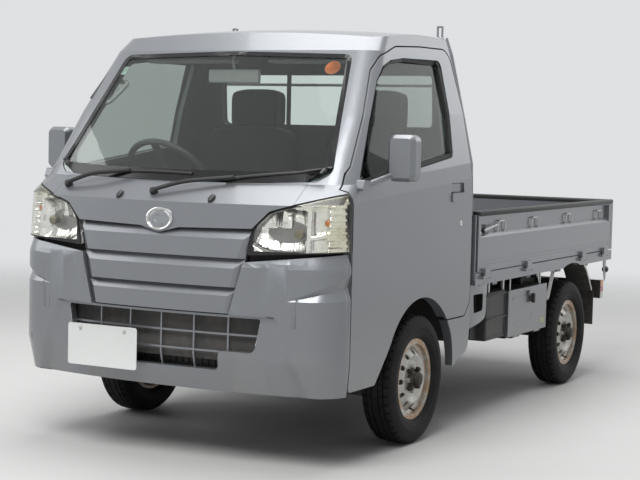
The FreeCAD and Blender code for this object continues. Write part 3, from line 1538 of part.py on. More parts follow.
bed.append(block("EndRail", ("-half_width", tail_out + " - tail_thick", "rail_low"),
                 ("2 * half_width", "tail_thick", "rail_top - rail_low")))
TAIL_HINGE_SHARES = (-0.85, -0.30, 0.30, 0.85)
for i, share in enumerate(TAIL_HINGE_SHARES):
    for j, way in enumerate((0, 1)):
        place = "half_width * %s - hinge_length / 2 + %d * (hinge_length + seat_clear) - (1 - %d) * hinge_length / 3" % (
            share, way, way)
        bed.append(block("TailLug%d%d" % (i, j),
                         (place, tail_out + " - sheet_steel", "gate_hinge_height - hinge_radius"),
                         ("hinge_length / 3 - seat_clear", "gate_hinge_out + sheet_steel + hinge_radius",
                          "2 * hinge_radius")))
node("bed_floor", joined("Bed", bed))

# Drop sides and tail gate: a skin with a sunk upper channel, hinge straps and a cap
GROOVE_SHARES = (0.11, 0.17)


def gate_relief(face, start, end):
    """what a gate's outer face at x = face loses between two ends: the channel and two grooves"""
    top = s.gate_high - s.gate_skin
    low = s.gate_channel_low
    deep = s.gate_channel_depth
    channel = prism_y([(face - deep, low + deep, 0), (face, low, 0), (face + s.overrun, low, 0),
                       (face + s.overrun, top, 0), (face - deep, top, 0)], start, end)
    tall = s.gate_high - s.gate_low
    cuts = [channel]
    for share in GROOVE_SHARES:
        z = s.gate_low + tall * share
        cuts.append(cuboid((face - s.gate_groove, start, z), (face + s.overrun, end, z + 2 * s.gate_groove)))
    return cuts[0].fuse(cuts[1:])


for side, word in ((1, "left"), (-1, "right")):
    plate = side_block("SidePlate" + word, side, "bed_inner_half", "gate_front", "gate_low",
                       ("half_width - bed_inner_half", gate_run, "gate_high - gate_low"))
    run = s.length_overall - s.front_overhang - s.gate_hinge_out - s.hinge_radius - s.tail_thick - s.panel_gap
    relief = gate_relief(s.half_width, s.gate_front + s.tail_thick, run - s.tail_thick)
    parts = [carved("SidePanel" + word, plate, solid("SideRelief" + word, on_side(relief, side)))]
    for i, share in enumerate(HINGE_SHARES):
        place = "gate_front + %s * %s" % (gate_run, share)
        x = "half_width + gate_hinge_out" if side > 0 else "-half_width - gate_hinge_out"
        parts.append(rod("SidePin%s%d" % (word, i), (x, place, "gate_hinge_height"), "hinge_radius",
                         "hinge_length", "Y"))
        parts.append(side_block(
            "SideStrap%s%d" % (word, i), side, "half_width - sheet_steel", place,
            "gate_low + sheet_steel",
            ("gate_hinge_out + sheet_steel + hinge_radius", "hinge_length", "strap_rise")))
        parts.append(side_block(
            "SideDrop%s%d" % (word, i), side, "half_width + gate_hinge_out - sheet_steel", place,
            "gate_hinge_height", ("sheet_steel + hinge_radius", "hinge_length",
                                  "gate_low + sheet_steel + strap_rise - gate_hinge_height")))
    node("side_gate_" + word, joined("SideGate" + word, parts))
    wide = "(half_width - bed_inner_half + 2 * sheet_steel)"
    x = "bed_inner_half - sheet_steel" if side > 0 else "-(bed_inner_half - sheet_steel) - " + wide
    corner = (x, "gate_front", "gate_high")
    cap = block("SideCap" + word, corner, (wide, gate_run, "gate_cap_height"))
    node("gate_cap_" + word, cap, corner)

plate = block("TailPlate", ("-half_width", tail_out + " - tail_thick", "gate_low"),
              ("2 * half_width", "tail_thick", "gate_high - gate_low"))
relief = gate_relief(s.length_overall - s.front_overhang - s.gate_hinge_out - s.hinge_radius,
                     s.tail_thick - s.half_width, s.half_width - s.tail_thick)
relief.rotate(Vector(), Vector(0, 0, 1), 90)
parts = [carved("TailPanel", plate, solid("TailRelief", relief))]
for i, share in enumerate(TAIL_HINGE_SHARES):
    place = "half_width * %s - hinge_length / 2" % share
    parts.append(rod("TailPin%d" % i, (place, tail_out + " + gate_hinge_out", "gate_hinge_height"),
                     "hinge_radius", "hinge_length", "X"))
    parts.append(block("TailStrap%d" % i, (place, tail_out + " - sheet_steel", "gate_low + sheet_steel"),
                       ("hinge_length", "gate_hinge_out + sheet_steel + hinge_radius", "strap_rise")))
    parts.append(block("TailDrop%d" % i, (place, tail_out + " + gate_hinge_out - sheet_steel",
                                          "gate_hinge_height"),
                       ("hinge_length", "sheet_steel + hinge_radius",
                        "gate_low + sheet_steel + strap_rise - gate_hinge_height")))
node("tail_gate", joined("TailGate", parts))
corner = ("-half_width", tail_out + " - tail_thick - sheet_steel", "gate_high")
cap = block("TailCap", corner, ("2 * half_width", "tail_thick + 2 * sheet_steel", "gate_cap_height"))
node("gate_cap_tail", cap, corner)

# Headboard with the tube guard behind the cab
GUARD_SHARES = ((0.976, 0.500), (0.961, 0.679), (0.902, 0.796), (0.812, 0.959), (0.777, 1.000))
HOOK_SHARE = 0.7220
guard_points = []
for across, up in GUARD_SHARES:
    guard_points.append(Vector(s.half_width * across - s.guard_tube, s.guard_y, s.guard_top * up))
other = [Vector(-p.x, p.y, p.z) for p in reversed(guard_points)]
guard = swept(guard_points + other, s.guard_tube)
bars = []
for up in (0.640, 0.760, 0.880):
    z = s.guard_top * up
    wide = [p for p in guard_points if p.z >= z][0].x
    below = [p for p in guard_points if p.z < z][-1]
    above = [p for p in guard_points if p.z >= z][0]
    wide = below.x + (above.x - below.x) * (z - below.z) / (above.z - below.z)
    bars.append(Part.makeCylinder(s.guard_tube / 2, 2 * wide, Vector(-wide, s.guard_y, z), Vector(1, 0, 0)))
for side in (1, -1):
    middle = side * s.half_width * HOOK_SHARE
    legs = [(middle - s.guard_hook_half, s.guard_top), (middle - s.guard_hook_half, s.guard_hook_top),
            (middle + s.guard_hook_half, s.guard_hook_top), (middle + s.guard_hook_half, s.guard_top)]
    bars.append(swept([Vector(x, s.guard_y, z - s.guard_hook_radius) for x, z in legs], s.guard_hook_radius))
board = cuboid((-s.half_width + s.sheet_steel, s.guard_y - s.guard_tube / 2, s.bed_floor_top - s.bed_floor_thick),
               (s.half_width - s.sheet_steel, s.bed_front, s.gate_high))
node("bed_guard", solid("BedGuard", largest(guard.fuse(bars + [board]))))

# Battery box with its lid under the left side of the bed
box_in = "(box_face - box_depth)"
shell_box = block("BoxShell", (box_in, "box_front", "box_low"),
                  ("box_depth - lid_thick - seat_clear", "box_back - box_front", "box_high - box_low"))
box_room = block("BoxRoom", (box_in + " + box_wall", "box_front + box_wall", "box_low + box_wall"),
                 ("box_depth", "box_back - box_front - 2 * box_wall", "box_high - box_low - 2 * box_wall"))
battery = block("Battery", (box_in + " + 3 * box_wall", "box_front + 3 * box_wall", "box_low + box_wall"),
                ("box_depth * 0.55", "(box_back - box_front) * 0.42", "(box_high - box_low) * 0.75"))
hangers = []
for i, share in enumerate((0.25, 0.75)):
    hangers.append(block("BoxHanger%d" % i, (
        box_in + " + 3 * box_wall",
        "box_front + (box_back - box_front - crossmember / 2) * %s" % share, "box_high - box_wall / 2"),
        ("box_depth * 0.5", "crossmember / 2", floor_low + " - box_high + box_wall / 2")))
lid_low = "box_low + panel_gap"
pin_x = "box_face - lid_pin"
pin_z = "box_low + panel_gap - lid_pin - seat_clear"
lid = [block("Lid", ("box_face - lid_thick", "box_front", lid_low),
             ("lid_thick", "box_back - box_front", "box_high - box_low - panel_gap"))]
lid.append(rod("Knob", ("box_face - sheet_steel", "(box_front + box_back) / 2", "box_high - crossmember / 2"),
               "hinge_radius * 2", "hinge_radius * 2", "X"))
lugs = []
for i, share in enumerate((0.15, 0.70)):
    place = "box_front + (box_back - box_front) * %s" % share
    lid.append(rod("LidPin%d" % i, (pin_x, place, pin_z), "lid_pin", "hinge_length", "Y"))
    lid.append(block("LidTab%d" % i, (pin_x + " - lid_pin", place, pin_z),
                     ("2 * lid_pin", "hinge_length", "2 * lid_pin")))
    for end, start in enumerate((" - hinge_length / 3 - seat_clear", " + hinge_length + seat_clear")):
        lugs.append(rod("LidLug%d%d" % (i, end), (pin_x, place + start, pin_z), "lid_pin",
                        "hinge_length / 3", "Y"))
        lugs.append(block("LidArm%d%d" % (i, end), (
            "box_face - lid_thick - seat_clear - box_wall", place + start, pin_z + " - lid_pin"),
            ("lid_thick + box_wall - lid_pin", "hinge_length / 3", "2 * lid_pin")))
node("battery_box", joined("BatteryBox", [carved("BoxOpen", shell_box, box_room), battery] + hangers + lugs))
node("battery_lid", joined("BatteryLid", lid))

# Fuel tank on the right
tank = block("TankBody", ("-box_face", "tank_front", "tank_low"), ("tank_width", "tank_length", "tank_height"))
straps = []
for i, share in enumerate((0.2, 0.7)):
    straps.append(block("TankStrap%d" % i, (
        "-box_face + tank_width / 3", "tank_front + tank_length * %s" % share,
        "tank_low + tank_height - sheet_steel"),
        ("crossmember", "crossmember", "%s - tank_low - tank_height + sheet_steel" % floor_low)))
node("fuel_tank", joined("FuelTank", [tank] + straps))


# Mudguards behind the rear wheels and the rear lamps
def make_flap(side):
    inner = s.track_rear_half - s.tyre_width / 2
    back = s.flap_back
    outer = s.bed_inner_half - s.sheet_steel
    sheet_part = cuboid((inner, back, s.flap_low), (outer, back + s.flap_thick, s.flap_high))
    stay = cuboid((inner, back, s.flap_high - s.flap_thick),
                  (inner + s.tyre_width / 2, back + s.flap_thick, s.bed_floor_top - s.bed_floor_thick))
    flap = sheet_part.fuse(stay).removeSplitter()
    return on_side(flap, side)


node("mudguards", gathered("Mudguards", [solid("Mudguard", make_flap(side)) for side in (1, -1)]))
lamps = []
for side, word in ((1, "left"), (-1, "right")):
    lamps.append(side_block(
        "TailLamp" + word, side, "bed_inner_half - panel_gap - tail_lamp_width", "rail_rear_end - skin",
        "rail_base", ("tail_lamp_width", "tail_lamp_depth", "tail_lamp_height")))
node("tail_lamps", gathered("TailLamps", lamps))


# Check and write
doc.recompute()
for item in doc.Objects:
    if "Invalid" in item.State or "Error" in item.State:
        raise RuntimeError("failed object: " + item.Name)
for item in nodes:
    if item.Shape.isNull() or not item.Shape.isValid():
        raise RuntimeError("bad shape: " + item.Label)
os.makedirs("parts", exist_ok=True)
for item in nodes:
    item.Shape.exportStep("parts/" + item.Label + ".step")
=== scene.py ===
import json
import math

import bpy
from mathutils import Matrix, Vector

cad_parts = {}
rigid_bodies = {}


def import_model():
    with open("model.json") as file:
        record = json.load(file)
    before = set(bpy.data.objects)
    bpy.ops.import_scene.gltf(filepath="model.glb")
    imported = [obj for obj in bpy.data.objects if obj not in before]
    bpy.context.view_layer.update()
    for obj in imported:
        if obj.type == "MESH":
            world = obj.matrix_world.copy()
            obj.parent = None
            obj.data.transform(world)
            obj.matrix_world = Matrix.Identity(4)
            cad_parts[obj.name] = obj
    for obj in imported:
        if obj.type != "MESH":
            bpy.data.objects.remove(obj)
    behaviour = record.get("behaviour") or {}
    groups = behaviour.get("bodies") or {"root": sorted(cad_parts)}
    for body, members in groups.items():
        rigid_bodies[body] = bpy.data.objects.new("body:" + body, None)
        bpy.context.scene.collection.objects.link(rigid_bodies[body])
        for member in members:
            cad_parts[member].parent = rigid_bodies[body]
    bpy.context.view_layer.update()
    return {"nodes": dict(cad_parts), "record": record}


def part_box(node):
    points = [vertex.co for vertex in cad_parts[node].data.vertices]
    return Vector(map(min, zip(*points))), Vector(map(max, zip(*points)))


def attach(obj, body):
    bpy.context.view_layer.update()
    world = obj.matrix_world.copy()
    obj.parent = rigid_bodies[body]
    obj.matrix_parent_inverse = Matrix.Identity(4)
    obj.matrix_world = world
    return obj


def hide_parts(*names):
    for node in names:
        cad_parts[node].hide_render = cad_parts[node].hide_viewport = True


bl_info = {
    "name": "Small Flatbed Truck",
    "version": (1, 0, 0),
    "blender": (4, 5, 0),
    "location": "View3D > Sidebar > Truck",
    "description": "Finishes and small parts for a small cab-over flatbed truck",
    "category": "Object",
}

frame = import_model()
NODES = frame["nodes"]

FRONT_AXLE_Y = -0.8275
REAR_AXLE_Y = 1.0725
WHEEL_Z = 0.268
TRACKS = {"front": 0.6525, "rear": 0.650}
WHEELS = [(end + "_" + side, sign * TRACKS[end], FRONT_AXLE_Y if end == "front" else REAR_AXLE_Y)
          for end in ("front", "rear") for side, sign in (("left", 1), ("right", -1))]
MIRROR = Matrix.Diagonal((-1, 1, 1, 1))
CORNER_REACH = 0.45
FINISHES = {}


def spot(x, y, z):
    """a point given in millimetres, with y counted back from the front axle"""
    return Vector((x / 1000, y / 1000 + FRONT_AXLE_Y, z / 1000))


def side_line(x, points):
    """(y, z) points of a side view, all at one distance from the middle"""
    return [spot(x, y, z) for y, z in points]


def between(pairs, at):
    """the value at a place in a list of (place, value) pairs"""
    for (x0, y0), (x1, y1) in zip(pairs, pairs[1:]):
        if at <= x1:
            break
    return y0 + (y1 - y0) * (at - x0) / (x1 - x0)


# Selection and mesh helpers
def pick(*objects):
    for other in bpy.context.view_layer.objects:
        other.select_set(False)
    for obj in objects:
        obj.select_set(True)
    bpy.context.view_layer.objects.active = objects[0]


def edit(obj):
    pick(obj)
    bpy.ops.object.mode_set(mode="EDIT")
    bpy.ops.mesh.select_all(action="SELECT")


def leave():
    bpy.ops.object.mode_set(mode="OBJECT")


def settle(obj):
    pick(obj)
    bpy.ops.object.transform_apply(location=True, rotation=True, scale=True)


def apply_modifiers(obj):
    pick(obj)
    for modifier in list(obj.modifiers):
        bpy.ops.object.modifier_apply(modifier=modifier.name)


def modify(obj, kind, **values):
    modifier = obj.modifiers.new(kind.title(), kind)
    for key, value in values.items():
        setattr(modifier, key, value)
    apply_modifiers(obj)
    return obj


def soften(obj, width, segments=2):
    """break the sharp edges of a piece"""
    return modify(obj, "BEVEL", width=width, segments=segments, limit_method="ANGLE")


def tidy(obj, gap=1e-5):
    """merge doubled points and turn every face outwards"""
    edit(obj)
    bpy.ops.mesh.remove_doubles(threshold=gap)
    bpy.ops.mesh.normals_make_consistent(inside=False)
    leave()
    return obj


def smooth(obj, angle=35):
    pick(obj)
    bpy.ops.object.shade_smooth_by_angle(angle=math.radians(angle))
    return obj


def choose(obj, test):
    """select the faces that pass a test of centre and normal, in edit mode"""
    pick(obj)
    bpy.ops.object.mode_set(mode="EDIT")
    bpy.ops.mesh.select_mode(type="FACE")
    bpy.ops.mesh.select_all(action="DESELECT")
    leave()
    for face in obj.data.polygons:
        face.select = bool(test(face.center, face.normal))
    bpy.ops.object.mode_set(mode="EDIT")


def inset_where(obj, test, thickness, depth):
    """set in the faces that pass a test and push them along their normals"""
    choose(obj, test)
    bpy.ops.mesh.inset(thickness=thickness, depth=depth)
    leave()
    return obj


def done(obj, name, body, kind, angle=35, replaces=()):
    """name, finish and place a piece, and make it ride"""
    obj.name = name
    obj.data.name = name
    obj.data.materials.clear()
    obj.data.materials.append(FINISHES[kind])
    smooth(obj, angle)
    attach(obj, body)
    if replaces:
        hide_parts(*replaces)
    return obj


def joined(objects):
    """one piece made of several; the first of them stays"""
    pick(*objects)
    bpy.ops.object.join()
    return objects[0]


def slab(low, high, bevel=0.002, segments=2):
    """a block between two corners with rounded edges"""
    low = Vector(low)
    high = Vector(high)
    bpy.ops.mesh.primitive_cube_add(size=1, location=(low + high) / 2)
    obj = bpy.context.object
    obj.scale = high - low
    settle(obj)
    if bevel:
        soften(obj, bevel, segments)
    return obj


def block(low, high, bevel=0.002, segments=2):
    """a slab between two corners given in millimetres"""
    return slab(spot(*low), spot(*high), bevel, segments)


def plate(points, depth, bevel=0.0, segments=2):
    """a flat outline of points, given thickness along a vector"""
    bpy.ops.mesh.primitive_circle_add(vertices=len(points), radius=1, fill_type="NGON")
    obj = bpy.context.object
    settle(obj)
    for vertex, point in zip(obj.data.vertices, points):
        vertex.co = point
    edit(obj)
    bpy.ops.mesh.extrude_region_move(TRANSFORM_OT_translate={"value": depth})
    bpy.ops.mesh.select_all(action="SELECT")
    bpy.ops.mesh.normals_make_consistent(inside=False)
    leave()
    if bevel:
        soften(obj, bevel, segments)
    return obj


def rounded(points, radius, steps=4, closed=False):
    """a run of points with its corners turned to arcs"""
    points = [Vector(p) for p in points]
    count = len(points)
    result = []
    for i, here in enumerate(points):
        if not closed and i in (0, count - 1):
            result.append(here)
            continue
        before = points[i - 1]
        after = points[(i + 1) % count]
        shorter = min((before - here).length, (after - here).length)
        reach = min(radius, shorter * CORNER_REACH)
        start = here + (before - here).normalized() * reach
        end = here + (after - here).normalized() * reach
        for step in range(steps + 1):
            t = step / steps
            result.append((1 - t) ** 2 * start + 2 * t * (1 - t) * here + t * t * end)
    return result


def tube(points, radius, sides=3):
    """a round bar along a run of points"""
    bpy.ops.curve.primitive_bezier_curve_add()
    obj = bpy.context.object
    obj.matrix_world = Matrix.Identity(4)
    curve = obj.data
    curve.splines.clear()
    spline = curve.splines.new("POLY")
    spline.points.add(len(points) - 1)
    for knot, point in zip(spline.points, points):
        knot.co = (*point, 1)
    curve.dimensions = "3D"
    curve.bevel_depth = radius
    curve.bevel_resolution = sides
    curve.use_fill_caps = True
    pick(obj)
    bpy.ops.object.convert(target="MESH")
    obj = bpy.context.object
    settle(obj)
    return tidy(obj)


def barrel(start, end, radius, bevel=0.001, vertices=24):
    """a round bar between two points with its edges broken"""
    start = Vector(start)
    end = Vector(end)
    way = end - start
    bpy.ops.mesh.primitive_cylinder_add(vertices=vertices, radius=radius, depth=way.length,
                                        location=(start + end) / 2,
                                        rotation=way.to_track_quat("Z", "Y").to_euler())
    obj = bpy.context.object
    settle(obj)
    soften(obj, bevel)
    return obj


def turned(profile, centre=(0, 0, 0), way=(0, 0, 1), steps=48):
    """a profile of (along, radius) points, spun about an axis"""
    count = len(profile)
    way = Vector(way).normalized()
    side = way.orthogonal().normalized()
    bpy.ops.mesh.primitive_circle_add(vertices=count, radius=1)
    obj = bpy.context.object
    settle(obj)
    for vertex, (along, radius) in zip(obj.data.vertices, profile):
        vertex.co = Vector(centre) + way * along + side * radius
    edit(obj)
    bpy.ops.mesh.spin(steps=steps, angle=2 * math.pi, center=centre, axis=way)
    leave()
    return tidy(obj)


def copied(obj):
    twin = obj.copy()
    twin.data = obj.data.copy()
    bpy.context.scene.collection.objects.link(twin)
    return twin


def flipped(obj):
    """the mirror image of a piece on the other side"""
    twin = copied(obj)
    twin.data.transform(MIRROR)
    return tidy(twin)


def both_sides(piece, name, body, kind, angle=35):
    """finish a piece of the left side and its mirror image on the right"""
    other = flipped(piece)
    done(piece, name + "_left", body.format("left"), kind, angle)
    done(other, name + "_right", body.format("right"), kind, angle)


def seat_on(node, start, way):
    """where a line first meets a node, and which way the node faces there"""
    hit, place, normal, index = NODES[node].ray_cast(Vector(start), Vector(way).normalized())
    if not hit:
        raise RuntimeError("nothing to seat on: " + node)
    return place, normal


def stood(obj, place, normal, along):
    """turn a piece made at the origin so that its z follows a normal and its y runs along"""
    z = Vector(normal).normalized()
    y = (Vector(along) - z * z.dot(Vector(along))).normalized()
    x = y.cross(z)
    obj.data.transform(Matrix.Translation(place) @ Matrix((x, y, z)).transposed().to_4x4())
    return obj


def cut_from(obj, cutter):
    """take a cutter's room out of a piece"""
    modify(obj, "BOOLEAN", object=cutter, operation="DIFFERENCE")
    bpy.data.objects.remove(cutter)
    return obj


def window_in(obj, points, axis):
    """cut a convex window, seen along an axis, out of a sheet of faces"""
    middle = sum(points, Vector()) / len(points)
    walls = []
    for index, here in enumerate(points):
        wall = (points[(index + 1) % len(points)] - here).cross(Vector(axis)).normalized()
        if wall.dot(middle - here) > 0:
            wall = -wall
        walls.append((here, wall))
        edit(obj)
        bpy.ops.mesh.bisect(plane_co=here, plane_no=wall)
        leave()
    choose(obj, lambda c, n: all((c - here).dot(wall) < 0 for here, wall in walls))
    bpy.ops.mesh.delete(type="FACE")
    leave()
    return obj


def face_copy(node, test):
    """a merged copy of a node's faces that pass a test"""
    obj = bpy.data.objects.new(node + "_copy", NODES[node].data.copy())
    bpy.context.scene.collection.objects.link(obj)
    edit(obj)
    bpy.ops.mesh.remove_doubles(threshold=1e-6)
    leave()
    choose(obj, lambda centre, normal: not test(centre, normal))
    bpy.ops.mesh.delete(type="FACE")
    leave()
    return obj


def edge_band(node, test, width, thick, lift, widen=None):
    """a band along the edge of a node's outer face"""
    obj = face_copy(node, test)
    edit(obj)
    bpy.ops.mesh.inset(thickness=width, use_boundary=True, use_even_offset=True)
    bpy.ops.mesh.delete(type="FACE")
    leave()
    if widen:
        for vertex in obj.data.vertices:
            vertex.co = widen(vertex.co)
    modify(obj, "SOLIDIFY", thickness=thick, offset=1)
    edit(obj)
    bpy.ops.transform.translate(value=lift)
    leave()
    return obj


# Finishes
ROAD_DIRT = (0.26, 0.24, 0.21)
THREADS = 260.0


def shade(colour, share, lift=0.0):
    """a colour made darker or lighter"""
    return [min(1.0, c * share + lift) for c in colour]


class Finish:
    """a node material on the piece's own object coordinates"""

    def __init__(self, name, colour, roughness, metallic=0.0, **sockets):
        self.material = bpy.data.materials.new(name)
        self.material.use_nodes = True
        self.tree = self.material.node_tree
        self.shader = self.tree.nodes["Principled BSDF"]
        self.put("Base Color", (*colour, 1))
        self.put("Roughness", roughness)
        self.put("Metallic", metallic)
        for key, value in sockets.items():
            self.put(key.replace("_", " "), value)
        self.coords = self.tree.nodes.new("ShaderNodeTexCoord").outputs["Object"]
        self.material.diffuse_color = (*colour, 1)

    def put(self, name, value):
        self.shader.inputs[name].default_value = value

    def link(self, name, output):
        self.tree.links.new(output, self.shader.inputs[name])

    def node(self, kind, inputs=(), **values):
        item = self.tree.nodes.new(kind)
        for key, value in values.items():
            setattr(item, key, value)
        for key, value in dict(inputs).items():
            if isinstance(value, bpy.types.NodeSocket):
                self.tree.links.new(value, item.inputs[key])
            else:
                item.inputs[key].default_value = value
        return item

    def placed(self, scale=(1, 1, 1), turn=(0, 0, 0)):
        inputs = {"Vector": self.coords, "Scale": scale, "Rotation": turn}
        return self.node("ShaderNodeMapping", inputs).outputs[0]

    def noise(self, scale, detail=4.0, rough=0.55, stretch=(1, 1, 1)):
        inputs = {"Vector": self.placed(stretch), "Scale": scale, "Detail": detail, "Roughness": rough}
        return self.node("ShaderNodeTexNoise", inputs).outputs["Fac"]

    def cells(self, scale):
        inputs = {"Vector": self.placed(), "Scale": scale}
        return self.node("ShaderNodeTexVoronoi", inputs, feature="SMOOTH_F1").outputs["Distance"]

    def weave(self, scale, turn=(0, 0, 0)):
        inputs = {"Vector": self.placed(turn=turn), "Scale": scale, "Distortion": 0.6}
        return self.node("ShaderNodeTexWave", inputs).outputs["Fac"]

    def axis(self, letter):
        return self.node("ShaderNodeSeparateXYZ", {"Vector": self.coords}).outputs[letter]

    def maths(self, operation, first, second=0.0, third=0.0):
        return self.node("ShaderNodeMath", {0: first, 1: second, 2: third}, operation=operation).outputs[0]

    def spread(self, value, low, high, start=0.0, end=1.0):
        inputs = {"Value": value, "From Min": low, "From Max": high, "To Min": start, "To Max": end}
        return self.node("ShaderNodeMapRange", inputs, interpolation_type="SMOOTHSTEP").outputs[0]

    def blend(self, share, first, second):
        item = self.node("ShaderNodeMix", {"Factor": share}, data_type="RGBA")
        for index, value in ((6, first), (7, second)):
            if isinstance(value, bpy.types.NodeSocket):
                self.tree.links.new(value, item.inputs[index])
            else:
                item.inputs[index].default_value = (*value, 1)
        return item.outputs[2]

    def times(self, first, second):
        return self.maths("MULTIPLY", first, second)

    def bump(self, height, distance, strength=1.0):
        item = self.node("ShaderNodeBump", {"Height": height, "Distance": distance, "Strength": strength})
        self.link("Normal", item.outputs[0])

    def laid_over(self, colour, overlay, share, rough=(0.3, 0.7)):
        """a second colour laid over a colour by a share, and its roughness with it: dirt in most finishes,
        painted shade deep in the wheels
        """
        self.link("Base Color", self.blend(share, colour, overlay))
        self.link("Roughness", self.spread(share, 0.0, 1.0, *rough))


def low_dirt(finish, high=0.75, low=0.2, patch=3.0, amount=0.55):
    """road dirt that thickens towards the ground"""
    fall = finish.spread(finish.axis("Z"), high, low)
    patches = finish.spread(finish.noise(patch, 8.0, 0.6, (1, 1, 0.5)), 0.35, 0.75)
    return finish.times(finish.times(fall, patches), amount)


def paint_finish(colour):
    """silver coat over fine flake, with road dirt low down and faint haze"""
    f = Finish("silver_paint", colour, 0.34, 0.62, Coat_Weight=0.45, Coat_Roughness=0.08,
               Specular_IOR_Level=0.5)
    flake = f.spread(f.noise(1400.0, 2.0, 0.5), 0.3, 0.7)
    tone = f.blend(flake, shade(colour, 0.86), shade(colour, 1.1))
    cloud = f.spread(f.noise(2.2, 6.0, 0.6), 0.35, 0.7)
    tone = f.blend(f.times(cloud, 0.10), tone, shade(colour, 0.72))
    overlay = low_dirt(f, 0.62, 0.22, 5.0, 0.42)
    f.laid_over(tone, ROAD_DIRT, overlay, (0.34, 0.72))
    f.bump(f.noise(900.0, 2.0), 0.0002, 0.25)
    return f.material


def black_finish(name, colour, roughness, dust=0.35, grain=600.0, depth=0.0004, high=0.7):
    """dark plastic, rubber or sheet with grain, speckled dust and low dirt"""
    f = Finish(name, colour, roughness)
    low = low_dirt(f, high, 0.1, 7.0, dust)
    specks = f.times(f.spread(f.noise(26.0, 8.0, 0.7), 0.45, 0.8), dust * 0.5)
    share = f.maths("ADD", low, specks)
    f.laid_over(colour, (0.23, 0.20, 0.165), share, (roughness, min(1.0, roughness + 0.35)))
    f.bump(f.noise(grain, 3.0, 0.6), depth, 0.5)
    return f.material


def glass_finish(name, tint, dust, index=1.45):
    f = Finish(name, tint, 0.02, 0.0, Transmission_Weight=1.0, IOR=index)
    haze = f.spread(f.noise(9.0, 8.0, 0.65), 0.45, 0.85)
    f.link("Roughness", f.spread(haze, 0.0, 1.0, 0.0, dust))
    f.link("Base Color", f.blend(f.times(haze, 0.12), tint, shade(tint, 0.8)))
    return f.material


def lens_finish():
    """clear plastic gone yellow at its top and outer edges"""
    f = Finish("aged_lens", (0.97, 0.97, 0.95), 0.04, 0.0, Transmission_Weight=1.0, IOR=1.42)
    out = f.spread(f.maths("ABSOLUTE", f.axis("X")), 0.62, 0.75)
    up = f.spread(f.axis("Z"), 0.95, 1.04)
    age = f.times(f.maths("MAXIMUM", out, up), f.spread(f.noise(14.0, 6.0, 0.6), 0.2, 0.7))
    f.link("Base Color", f.blend(age, (0.97, 0.97, 0.95), (0.88, 0.86, 0.70)))
    f.link("Roughness", f.spread(age, 0.0, 1.0, 0.03, 0.22))
    return f.material


def chrome_finish(name, colour=(0.82, 0.82, 0.80), roughness=0.08):
    f = Finish(name, colour, roughness, 1.0)
    spots = f.spread(f.noise(40.0, 7.0, 0.7), 0.4, 0.8)
    f.laid_over(f.blend(spots, colour, shade(colour, 0.82)), (0.35, 0.32, 0.27), f.times(spots, 0.10),
           (roughness, 0.35))
    f.bump(f.noise(60.0, 3.0), 0.0003, 0.15)
    return f.material


def wheel_finish():
    """silver steel, dark at the hub, with rust on the outer flange and painted shade deep inside the barrel
    """
    f = Finish("wheel_steel", (0.55, 0.55, 0.53), 0.45, 0.55)
    height = f.maths("SUBTRACT", f.axis("Z"), WHEEL_Z)
    rings = []
    for centre in (FRONT_AXLE_Y, REAR_AXLE_Y):
        along = f.maths("SUBTRACT", f.axis("Y"), centre)
        square = f.maths("ADD", f.times(along, along), f.times(height, height))
        rings.append(f.maths("SQRT", square))
    radius = f.maths("MINIMUM", rings[0], rings[1])
    patches = f.noise(22.0, 9.0, 0.7)
    steel = f.blend(f.spread(patches, 0.3, 0.75), (0.56, 0.56, 0.53), (0.42, 0.40, 0.36))
    flange = f.times(f.spread(radius, 0.128, 0.158), f.spread(patches, 0.36, 0.58))
    rust = f.blend(f.noise(90.0, 5.0, 0.7), (0.36, 0.17, 0.07), (0.55, 0.36, 0.20))
    steel = f.blend(f.times(flange, 0.85), steel, rust)
    out = f.maths("ABSOLUTE", f.axis("X"))
    # painted shade: the steel grows dark the deeper it lies behind the disc, inside the barrel
    deep = f.times(f.spread(out, 0.676, 0.640), f.spread(radius, 0.158, 0.150))
    # the dark colour is the hub's own near the centre and painted shade deep in the barrel
    hub_and_painted_shade = f.maths("MAXIMUM", deep, f.times(f.spread(radius, 0.052, 0.036), 0.8))
    f.laid_over(steel, (0.055, 0.040, 0.028), hub_and_painted_shade, (0.42, 0.65))
    f.bump(f.noise(160.0, 6.0, 0.7), 0.0008, 0.4)
    return f.material


def tyre_finish():
    f = Finish("tyre_rubber", (0.010, 0.010, 0.011), 0.78, Specular_IOR_Level=0.2)
    patches = f.spread(f.noise(16.0, 9.0, 0.65), 0.4, 0.75)
    f.laid_over(f.blend(f.noise(5.0, 4.0), (0.006, 0.006, 0.007), (0.012, 0.012, 0.012)),
           (0.060, 0.054, 0.046), f.times(patches, 0.18), (0.66, 0.90))
    f.bump(f.noise(420.0, 4.0, 0.6), 0.0006, 0.5)
    return f.material


def cloth_finish(name, colour):
    f = Finish(name, colour, 0.9, 0.0, Sheen_Weight=0.12, Sheen_Roughness=0.5)
    warp = f.weave(THREADS)
    weft = f.weave(THREADS, (0, math.pi / 2, 0))
    threads = f.maths("MAXIMUM", warp, weft)
    patches = f.spread(f.noise(7.0, 6.0, 0.6), 0.35, 0.7)
    tone = f.blend(threads, shade(colour, 0.6), shade(colour, 1.4))
    f.link("Base Color", f.blend(f.times(patches, 0.25), tone, shade(colour, 1.9)))
    f.bump(threads, 0.0006, 0.6)
    return f.material


def plastic_finish(name, colour, roughness=0.6, grain=520.0):
    f = Finish(name, colour, roughness)
    leather = f.cells(grain)
    patches = f.spread(f.noise(8.0, 7.0, 0.6), 0.4, 0.8)
    f.laid_over(f.blend(leather, shade(colour, 0.85), shade(colour, 1.15)), shade(colour, 1.5, 0.03),
           f.times(patches, 0.35), (roughness, roughness + 0.15))
    f.bump(leather, 0.0005, 0.35)
    return f.material


